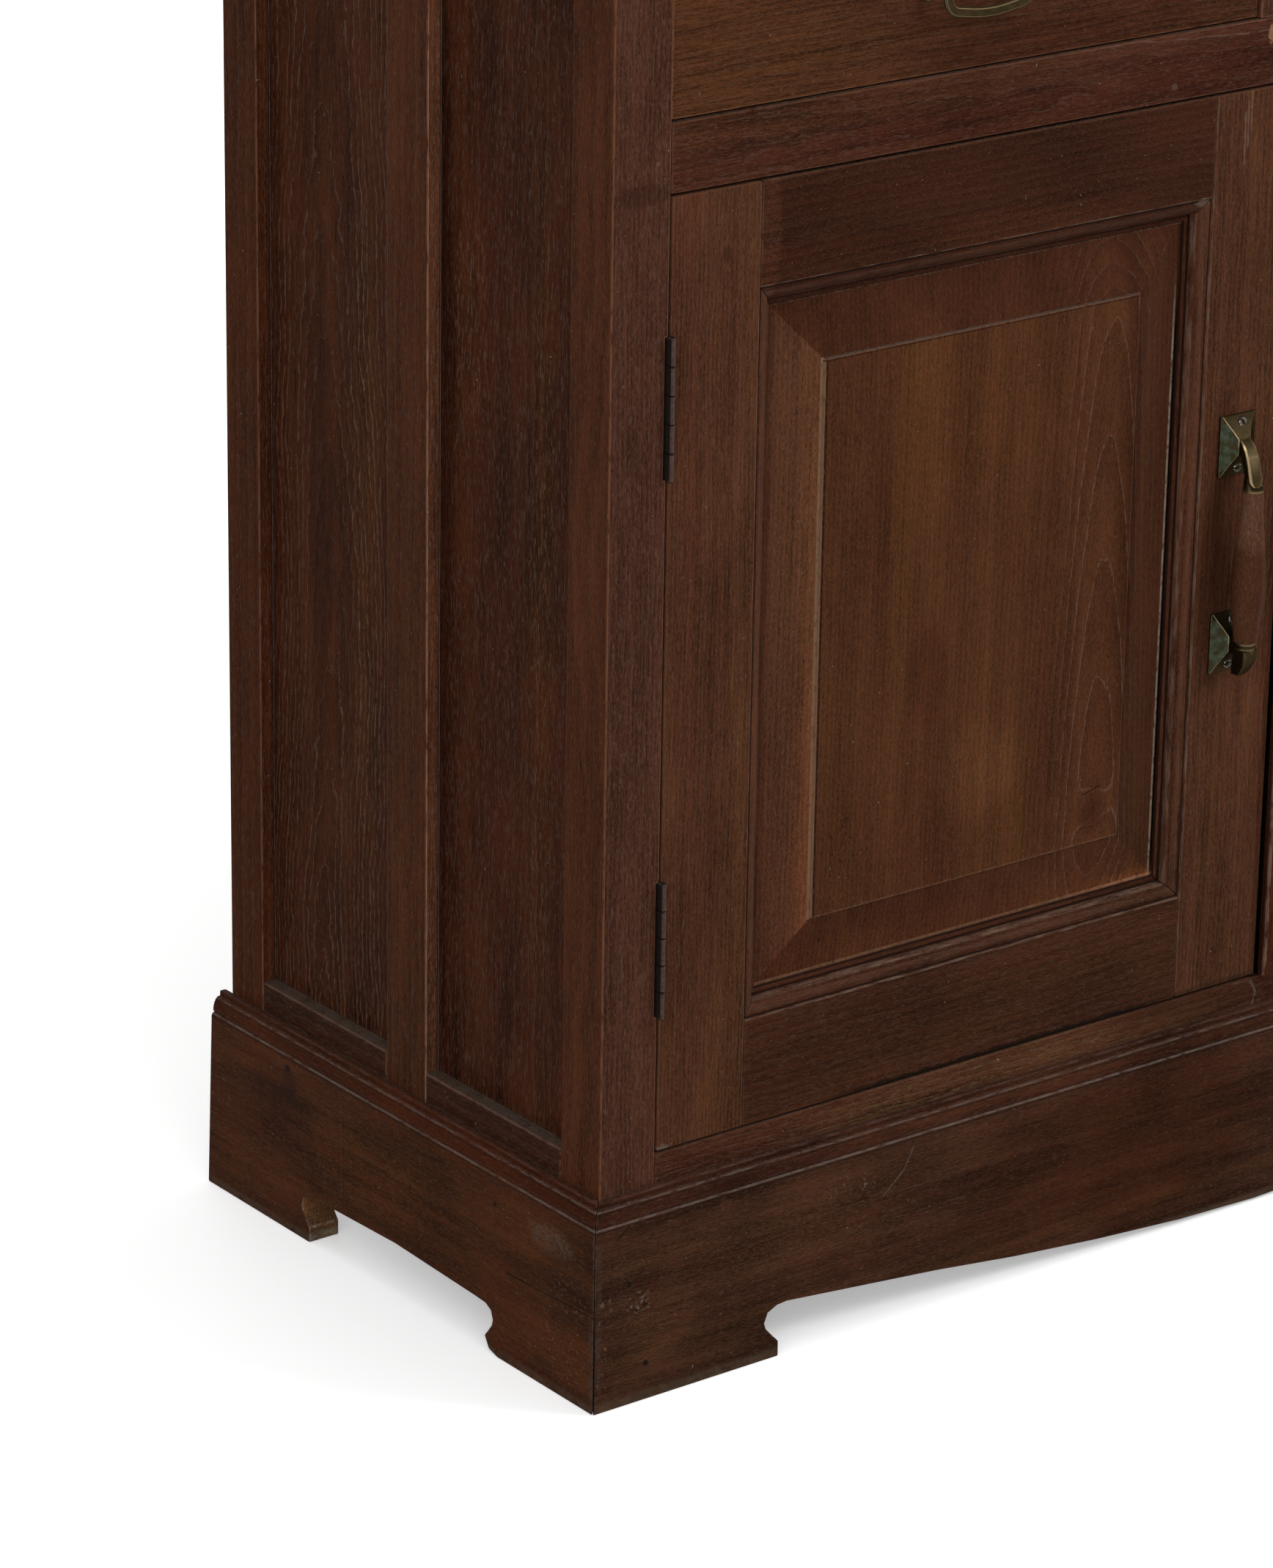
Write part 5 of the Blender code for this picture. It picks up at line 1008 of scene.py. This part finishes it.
def carcase_front():
    """Rails and divider of the front."""
    stain = (0.120, 0.092, 0.070)
    rail = dict(grain="x", tone=DRAWER_RAIL)
    board("bottom_rail", "frame_teak", (
        cloud((-180.0, 0, 124.0), (170.0, 0, 12.0), (1.30, 1.55, 1.32)),
        cloud((-40.0, 0, 130.0), (90.0, 0, 18.0), (0.66, 0.66, 0.64)),
        scratch((-3.0, FACE, 133.0), (1.0, FACE, 125.5), 1.0, stain, 0.6),
        scratch((1.0, FACE, 125.5), (-1.0, FACE, 118.0), 1.0, stain, 0.6),
        scratch((-3.0, FACE, 133.0), (-16.0, FACE, 134.0), 0.8, stain, 0.4)),
          seed=61, dust=0.7, wear=0.3, **rail)
    board("drawer_rail", "frame_teak", (
        spot((-92.4, FACE, 661.4), (2.2, 3.0, 1.9), (0.100, 0.062, 0.048), 0.7, 0.8),
        spot((-24.5, FACE, 681.0), (2.6, 4.0, 5.5), (0.260, 0.140, 0.080), 0.85, 0.7)),
          seed=62, line=1.1, ring=4.0, wave=4.0, jag=1.4, line_width=0.7, pith=(668.0, -192.5), rise=0.02,
          dust=1.0, gold=1.0, wear=0.45, **rail)
    board("top_rail", "frame_teak", seed=63, line=0.6, ring=4.0, wave=4.0, **rail)
    board("drawer_divider", "frame_teak", seed=64, tone=POST_FRONT, pore=0.6)


def flat_boards():
    """The top, the boards inside and the back."""
    board("top_board", "frame_teak", seed=71, grain="x", face="z", tone=TOP_TONE, pith=(40.0, 820.0),
          rise=0.03, ring=6.0, wave=8.0, line=0.6, late=0.9, dust=0.25)
    inner = dict(tone=INNER, line=0.4, gold=0.15)
    for i, name in enumerate(("bottom_board", "shelf", "dust_board")):
        board(name, "inner_teak", seed=72 + i, grain="x", face="z", pith=(30.0, -900.0), ring=6.0, wave=8.0,
              dust=0.5, **inner)
    board("back_panel", "inner_teak", (back_nails(),), seed=76, ring=5.0, wave=6.0, late=0.6, **inner)


def dress_all():
    """Every timber piece of the cupboard with its own board of teak."""
    for i, side in enumerate(SIDES):
        for dress in (carcase_side, plinth_side, door, drawer):
            dress(side, 20 * i)
    carcase_front()
    plinth_front()
    flat_boards()


# Brass and steel


def pull_place(side, across, reach, height):
    """A point of a door pull: across from its middle, reach in front of the door's face."""
    sign = -1.0 if side == "left" else 1.0
    return Vector((sign * (PULL_INSET - across), FRONT - reach, height))


def skinned(name, rings, worn, material):
    """A smooth closed piece from rings of points; worn gives each point's wear."""
    count = len(rings[0])
    faces = []
    for i in range(len(rings) - 1):
        for j in range(count):
            k = (j + 1) % count
            faces.append((i * count + j, i * count + k, (i + 1) * count + k, (i + 1) * count + j))
    faces.append(tuple(reversed(range(count))))
    faces.append(tuple((len(rings) - 1) * count + j for j in range(count)))
    mesh = bpy.data.meshes.new(name)
    mesh.from_pydata([point for ring in rings for point in ring], [], faces)
    mesh.validate()
    layer = mesh.attributes.new("worn", "FLOAT", "POINT")
    layer.data.foreach_set("value", [value for ring in worn for value in ring])
    piece = placed(name, mesh, material)
    with editing(mesh) as form:
        bmesh.ops.recalc_face_normals(form, faces=form.faces)
    smooth(piece)
    return piece


def rowed(name, side, rows, material):
    """A skinned piece from rows of a height and of points (across, reach, wear)."""
    rings = [[pull_place(side, a, b, height) for a, b, c in row] for height, row in rows]
    return skinned(name, rings, [[c for a, b, c in row] for height, row in rows], material)


def joined(name, pieces):
    """Several pieces as one object."""
    form = bmesh.new()
    material = pieces[0].data.materials[0]
    layer = form.verts.layers.float.new("worn")
    for piece in pieces:
        start = len(form.verts)
        form.from_mesh(piece.data)
        form.verts.ensure_lookup_table()
        values = [item.value for item in piece.data.attributes["worn"].data]
        for vert, value in zip(form.verts[start:], values):
            vert[layer] = value
        bpy.data.objects.remove(piece)
    mesh = bpy.data.meshes.new(name)
    form.to_mesh(mesh)
    form.free()
    whole = placed(name, mesh, material)
    smooth(whole)
    return whole


def pull_plate(side, middle, material):
    """The bracket's plate: ridges run from its corners in to the root of the arm, with scooped sides."""
    rows = []
    for i in range(PLATE_ROWS + 1):
        s = 2 * i / PLATE_ROWS - 1
        t = max(0.0, (abs(s) - ROOT_SHARE) / (1 - ROOT_SHARE))
        rise = PLATE_THICKNESS + (ROOT_RISE - PLATE_THICKNESS) * (1 - t) ** 1.35
        low = PLATE_THICKNESS + (rise - PLATE_THICKNESS) * 0.34
        row = []
        for sign, reach, root, bright in ((1, PLATE_LEFT, ROOT_LEFT, 1.0 if s > 0 else 0.25),
                                          (-1, PLATE_RIGHT, ROOT_RIGHT, 0.1)):
            ridge = root + (reach - RIDGE_EDGE * 3 - root) * t ** 1.15
            half = [(reach, FIT, 0.0), (reach, PLATE_THICKNESS - RIDGE_EDGE, 0.0),
                    (reach - RIDGE_EDGE, PLATE_THICKNESS, 0.0), ((ridge + reach) / 2, low, 0.0),
                    (ridge + RIDGE_EDGE, rise - RIDGE_EDGE, 0.0), (ridge, rise, bright),
                    (ridge - RIDGE_EDGE, rise, 0.0)]
            row += [(-sign * a, b, c) for a, b, c in half][::sign]
        rows.append((middle + s * PLATE_HEIGHT / 2, row))
    return rowed("plate", side, rows, material)


def bell(t, middle, width):
    return math.exp(-((t - middle) / width) ** 2)


def arm_section(t, tip, painted_glint):
    """Points of the arm's section: share of its half width, share of its half thickness, and wear with
    painted highlights added.
    """
    # painted highlights carried as wear: a bright spot on the rim at the bend, a sheen and a band on the face
    crest = min(1.0, 0.25 + painted_glint * bell(t, 0.30, 0.05) + 0.75 * t)
    gold = 0.20 * painted_glint * bell(t, 0.58, 0.16)
    glow = 0.25 * painted_glint * bell(t, 0.50, 0.05)
    # the rim's brightness along the arm is wear with a painted highlight
    for wide, out, value in (
            (-1, -1.0, 0), (-1, 0.60, 0.0), (-0.93, 0.95, crest), (-0.70, 1.0, 0.8 * crest),
            (-0.5, 0.90, gold), (0, 0.86, gold), (0.5, 0.90, gold), (0.74, 1.0, (0.3 + 0.7 * tip) * 0.2),
            (0.93, 0.95, 0.30 * crest), (1, 0.60, 0.0), (1, -1.0, 0)):
        shown = max(value, glow if out > 0.8 else 0.0, tip if out > 0.9 and tip > 0.9 else 0.0)
        yield wide, out, min(1.0, shown)


def pull_arm(side, controls, widths, thicknesses, painted_glint, material):
    """The strap from the plate to the cup: a smooth bend that ends in a rounded tongue with a raised rim."""
    start, first, second, end = (Vector(pair) for pair in controls)
    length = (first - start).length + (second - first).length + (end - second).length
    shares = [i / ARM_STEPS for i in range(ARM_STEPS + 1)]
    shares += [1 - (1 - share) ** 2 * TONGUE_LENGTH / length for share in (0.2, 0.35, 0.5, 0.65, 0.8)]
    rings, worn = [], []
    for t in sorted(shares):
        u = 1 - t
        centre = start * u ** 3 + first * 3 * u * u * t + second * 3 * u * t * t + end * t ** 3
        along = (first - start) * u * u + (second - first) * 2 * u * t + (end - second) * t * t
        along.normalize()
        half = (widths[0] + (widths[1] - widths[0]) * t) / 2
        thick = thicknesses[0] + (thicknesses[1] - thicknesses[0]) * t
        left = (1 - t) * length / TONGUE_LENGTH
        if left < 1:
            half *= max(0.10, math.sqrt(1 - (1 - left) ** 2))
        section = list(arm_section(t, max(0.0, 1 - left), painted_glint))
        rings.append([pull_place(side, wide * half, centre.x - along.y * (out * thick / 2),
                                 centre.y + along.x * (out * thick / 2)) for wide, out, value in section])
        worn.append([value for wide, out, value in section])
    return skinned("arm", rings, worn, material)


def turned(name, axis, profile, material):
    """A turned piece round an upright axis; the profile gives radius, height and wear."""
    angles = [2 * math.pi * i / TURNED_SIDES for i in range(TURNED_SIDES)]
    rings = [[Vector((axis.x + radius * math.cos(angle), axis.y + radius * math.sin(angle), height))
              for angle in angles] for radius, height, value in profile]
    worn = [[value] * TURNED_SIDES for radius, height, value in profile]
    return skinned(name, rings, worn, material)


def cup(side, profile, flat_from, flat_to, material):
    """The cup that holds the grip, flat in front where the tongue lies; share of its radius, height, wear."""
    axis = pull_place(side, 0, PULL_STANDOFF, 0)
    sized = [(CUP_RADIUS * share, height, wear) for share, height, wear in profile]
    piece = turned("cup", axis, sized, material)
    for vert in piece.data.vertices:
        if flat_from < vert.co.z < flat_to:
            vert.co.y = max(vert.co.y, axis.y - CUP_FLAT + CUP_SLOPE * abs(vert.co.z - flat_from))
    return piece


def screw(name, middle, outward, radius, turn, material):
    """A slotted screw head standing a little proud of its seat."""
    outward = outward.normalized()
    side = Matrix.Rotation(turn, 3, outward) @ outward.orthogonal().normalized()
    other = outward.cross(side)
    rings, worn = [], []
    for share, rise in ((1.0, -0.4), (1.0, 0.08), (0.93, 0.20), (0.75, 0.30), (0.5, 0.36), (0.25, 0.39),
                        (0.04, 0.40)):
        ring, wear = [], []
        for i in range(SCREW_SIDES):
            angle = 2 * math.pi * (i + 0.5) / SCREW_SIDES
            a, b = share * math.cos(angle) * radius, share * math.sin(angle) * radius
            slot = abs(a) < radius * 0.17 and rise > 0
            lift = radius * (rise - (0.34 if slot else 0.0))
            ring.append(middle + side * a + other * b + outward * lift)
            wear.append(0.0 if slot else (1.0 if 0.1 < rise < 0.32 else 0.15))
        rings.append(ring)
        worn.append(wear)
    return skinned(name, rings, worn, material)


def upper_bracket(side, metal):
    path = ((0.0030, 0.4592), (0.0108, 0.4572), (0.0136, 0.4450), (0.0164, 0.4341))
    profile = ((0.60, 0.4445, 0.0), (0.80, 0.4428, 0.0), (0.90, 0.4405, 0.0), (0.95, 0.4375, 0.0),
               (0.97, 0.4345, 0.1), (1.01, 0.4336, 0.2), (1.03, 0.4326, 0.35), (1.01, 0.4316, 0.1),
               (0.95, 0.4311, 0.1))
    return [pull_plate(side, PULL_UPPER, metal),
            # 0.9 sets the painted highlights on the arm's bend
            pull_arm(side, path, (0.0082, 0.0102), (0.0040, 0.0036), 0.9, metal),
            cup(side, profile, 0.4343, 0.5, metal)]


def shield(side, material):
    """The solid foot of the lower bracket: reach of its front and back, half width and height, in metres."""
    rows = []
    for front, back, half, height in (
            (0.0122, 0.0068, 0.0024, 0.3258), (0.0132, 0.0066, 0.0028, 0.3262),
            (0.0157, 0.0072, 0.0033, 0.3282), (0.0188, 0.0086, 0.0043, 0.3331),
            (0.0200, 0.0097, 0.0051, 0.3365), (0.0205, 0.0103, 0.0055, 0.3390),
            (0.0203, 0.0103, 0.0055, 0.3416), (0.0196, 0.0106, 0.0052, 0.3421)):
        rows.append((height, (
            (-half * 0.6, back, 0), (-half, back + 0.001, 0), (-half, front - 0.0018, 0),
            (-half * 0.9, front - 0.0007, 0.08), (-half * 0.55, front - 0.0001, 0), (0, front, 0),
            (half * 0.55, front - 0.0001, 0), (half * 0.9, front - 0.0007, 0.06), (half, front - 0.0018, 0),
            (half, back + 0.001, 0), (half * 0.6, back, 0))))
    return rowed("shield", side, rows, material)


def neck(side, material):
    """The short arm from the lower plate to its cup; half width, foot, head and reach, in metres."""
    rows = ((0.0036, 0.3385, 0.3475, 0.0040), (0.0034, 0.3380, 0.3462, 0.0075),
            (0.0034, 0.3375, 0.3440, 0.0120))
    outline = ((-1, -1), (1, -1), (1, 1), (0.6, 1), (-0.6, 1), (-1, 1))
    rings = [[pull_place(side, a * half, reach, low if b < 0 else high) for a, b in outline]
             for half, low, high, reach in rows]
    return skinned("neck", rings, [[0.0] * len(outline)] * len(rings), material)


def lower_bracket(side, metal):
    profile = ((0.60, 0.3325, 0.0), (0.85, 0.3345, 0.0), (0.93, 0.3370, 0.0), (0.96, 0.3418, 0.1),
               (1.00, 0.3426, 0.25), (0.97, 0.3434, 0.0), (0.98, 0.3446, 0.0), (1.04, 0.3454, 0.40),
               (1.02, 0.3461, 0.2), (0.95, 0.3464, 0.0))
    return [pull_plate(side, PULL_LOWER, metal),
            neck(side, metal),
            shield(side, metal),
            cup(side, profile, 0.3424, 0.3425, metal)]


def pull(side, metal, wood, dark):
    """One door pull: two brackets with screws, and the turned grip between them."""
    out = Vector((0, -1, 0))
    for which, middle, bracket in (("upper", PULL_UPPER, upper_bracket),
                                   ("lower", PULL_LOWER, lower_bracket)):
        name = "pull_%s_%s" % (side, which)
        stand_for(joined("look_" + name, bracket(side, metal)), name + "_bracket")
        for i, (across, offset) in enumerate(((-0.0014, -SCREW_OFFSET), (0.0008, SCREW_OFFSET))):
            seat = pull_place(side, across, PLATE_THICKNESS + SCREW_SEAT, middle + offset)
            head = screw("screw_%s_%d" % (name, i), seat, out, SCREW_RADIUS, 0.9 + 2.1 * i, dark)
            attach(head, "door_" + side)
    grip(side, wood)


def grip(side, material):
    """The turned grip, slim at the top, with its belly below the middle."""
    low, high = GRIP_FOOT + FIT, GRIP_TOP - FIT
    shape = ((0.0, 0.0059), (0.03, 0.0060), (0.12, 0.0062), (0.25, 0.0070), (0.38, 0.0082), (0.50, 0.0092),
             (0.62, 0.0096), (0.74, 0.0093), (0.86, 0.0080), (0.95, 0.0070), (0.99, 0.0068), (1.0, GRIP_END))
    profile = [(0.002, high, 0.0)]
    for (way, radius), (after, beyond) in zip(shape, shape[1:]):
        for i in range(3):
            part = way + (after - way) * i / 3
            profile.append((radius + (beyond - radius) * (i / 3), high - (high - low) * part, 0.0))
    profile += [(GRIP_END, low, 0.0), (0.002, low, 0.0)]
    piece = turned("look_grip_" + side, pull_place(side, 0, PULL_STANDOFF, 0), profile, material)
    stand_for(piece, "pull_%s_grip" % side)


def grip_wood(name, seed):
    """The grip's dark, fine teak, with painted shade at its right, a painted sheen near the top and a painted
    glow low down.
    """
    marks = (facing("x", 1, (0.60, 0.53, 0.46), -0.72, 0.10),
             cloud((0, 0, 420.0), (0, 0, 22.0), (1.70, 2.10, 2.35)),
             cloud((0, 0, 350.0), (0, 0, 16.0), (1.15, 1.22, 1.18)))
    return timber(name, marks, seed=seed, tone=GRIP, pore_size=(1.6, 0.35), fleck=0.4, gold=0.3, gloss=0.42,
                  fibre=0.3, speck=1.0, streak=0.3, late=0.1, line=0.0, pore=0.2, shine=0.05)


def fittings():
    """Brass and steel of the doors and drawers."""
    for i, side in enumerate(SIDES):
        metal = brass("brass_" + side, i + 1)
        dull = brass("bail_brass_" + side, i + 5, 0.25)
        for node in ("handle_%s_backplate", "handle_%s_bail"):
            dressed(node % side, dull, width=BRASS_ARRIS)
        pull(side, metal, grip_wood("grip_" + side, 90 + i), screw_metal("screws_" + side))
        for level in ("top", "bottom"):
            hinge = "hinge_%s_%s" % (side, level)
            middle, foot, length = barrel(hinge + "_post_leaf")
            dark = steel("steel_%s_%s" % (side, level), middle, foot, length)
            for leaf in ("_post_leaf", "_door_leaf"):
                dressed(hinge + leaf, dark, width=STEEL_ARRIS,
                        change=slimmer(hinge + leaf, middle / MILLI))


def slimmer(node, middle):
    """Draws the barrel of a hinge in to the slight width of the old knuckles."""
    matrix = frame["nodes"][node].matrix_world.copy()
    inverse = matrix.inverted()

    def change(form):
        for vert in form.verts:
            place = matrix @ vert.co
            axis = Vector((middle, FRONT - BARREL_STANDOFF, place.z))
            if (place - axis).length < BARREL_REACH:
                vert.co = inverse @ axis.lerp(place, BARREL_SHARE)
    return change


def barrel(node):
    """The middle, foot and length of a hinge's barrel, in millimetres."""
    leaf = frame["nodes"][node]
    points = [leaf.matrix_world @ vert.co for vert in leaf.data.vertices]
    nearest = min(point.y for point in points)
    front = [point.x for point in points if point.y < nearest + 0.0004]
    low, high = min(point.z for point in points), max(point.z for point in points)
    return MILLI * sum(front) / len(front), MILLI * low, MILLI * (high - low)


# Stage, lights and camera


def stage():
    """A wide white floor that keeps the cupboard's shadow."""
    mesh = bpy.data.meshes.new("floor")
    corners = [(a * FLOOR_REACH, b * FLOOR_REACH, 0) for a, b in ((-1, -1), (1, -1), (1, 1), (-1, 1))]
    mesh.from_pydata(corners, [], [(0, 1, 2, 3)])
    net = Net("floor")
    ray = net.make("LightPath").outputs
    seen = net.math("MAXIMUM", ray["Is Camera Ray"], ray["Is Glossy Ray"])
    seen = net.math("MAXIMUM", seen, ray["Is Transmission Ray"])
    colour = net.mix(seen, (0.30, 0.30, 0.30), WHITE)
    x, y, z = net.place()
    far = net.math("SQRT", net.add(net.times(x, x), net.times(y, y)))
    lift = net.ease(far, 1000.0, 2600.0, FLOOR_LIFT, 1.0)
    net.feed(net.shader.inputs["Emission Color"], opaque(WHITE))
    net.feed(net.shader.inputs["Emission Strength"], net.times(seen, lift))
    placed("floor", mesh, net.finish(colour, 0.9, 0.0))


def world():
    """Even light from all round, and white where the camera or a reflection looks past the floor."""
    sky = bpy.data.worlds.new("sky")
    bpy.context.scene.world = sky
    sky.use_nodes = True
    tree = sky.node_tree
    ground = tree.nodes["Background"]
    ray = tree.nodes.new("ShaderNodeLightPath")
    seen = ray.outputs["Is Camera Ray"]
    for kind in ("Is Glossy Ray", "Is Transmission Ray"):
        both = tree.nodes.new("ShaderNodeMath")
        both.operation = "MAXIMUM"
        tree.links.new(seen, both.inputs[0])
        tree.links.new(ray.outputs[kind], both.inputs[1])
        seen = both.outputs[0]
    level = tree.nodes.new("ShaderNodeMapRange")
    tree.links.new(seen, level.inputs[0])
    level.inputs["To Min"].default_value = AMBIENT
    level.inputs["To Max"].default_value = 1.0
    ground.inputs["Color"].default_value = opaque(WHITE)
    tree.links.new(level.outputs[0], ground.inputs["Strength"])


def direction(azimuth, elevation):
    """The way out from the middle; azimuth 0 is the front, negative the left."""
    return Vector((math.sin(azimuth) * math.cos(elevation), -math.cos(azimuth) * math.cos(elevation),
                   math.sin(elevation)))


def lamp(name, azimuth, elevation, distance, size, power):
    """A soft square lamp aimed at the middle of the cupboard, angles in degrees."""
    light = bpy.data.lights.new(name, "AREA")
    light.shape = "SQUARE"
    light.size = size
    light.energy = power
    holder = linked(name, light)
    away = direction(math.radians(azimuth), math.radians(elevation))
    holder.location = AIM + away * distance
    holder.rotation_euler = away.to_track_quat("Z", "Y").to_euler()


def lights():
    lamp("key", 40, 30, 3.2, 1.0, 38)
    lamp("fill", -50, 25, 3.4, 3.0, 46)
    lamp("above", -10, 82, 3.0, 2.6, 18)
    lamp("rear", 178, 28, 3.4, 3.0, 26)


def camera():
    """The photo's camera: its place, its turn with a slight roll, and its focal length."""
    back = direction(CAMERA_AZIMUTH, CAMERA_ELEVATION)
    level = (-back).cross(Vector((0, 0, 1))).normalized()
    upright = level.cross(-back)
    c, s = math.cos(CAMERA_ROLL), math.sin(CAMERA_ROLL)
    right, up = c * level + s * upright, -s * level + c * upright
    lens = bpy.data.cameras.new("camera")
    lens.sensor_fit = "VERTICAL"
    lens.sensor_height = SENSOR_HEIGHT
    lens.lens = FOCAL_PIXELS / IMAGE_HEIGHT * SENSOR_HEIGHT
    lens.clip_end = 60.0
    holder = linked("camera", lens)
    turn = Matrix((right, up, back)).transposed().to_4x4()
    holder.matrix_world = Matrix.Translation(CAMERA_PLACE) @ turn
    bpy.context.scene.camera = holder


camera()
dress_all()
fittings()
stage()
world()
lights()
bpy.context.scene.view_settings.view_transform = "Standard"
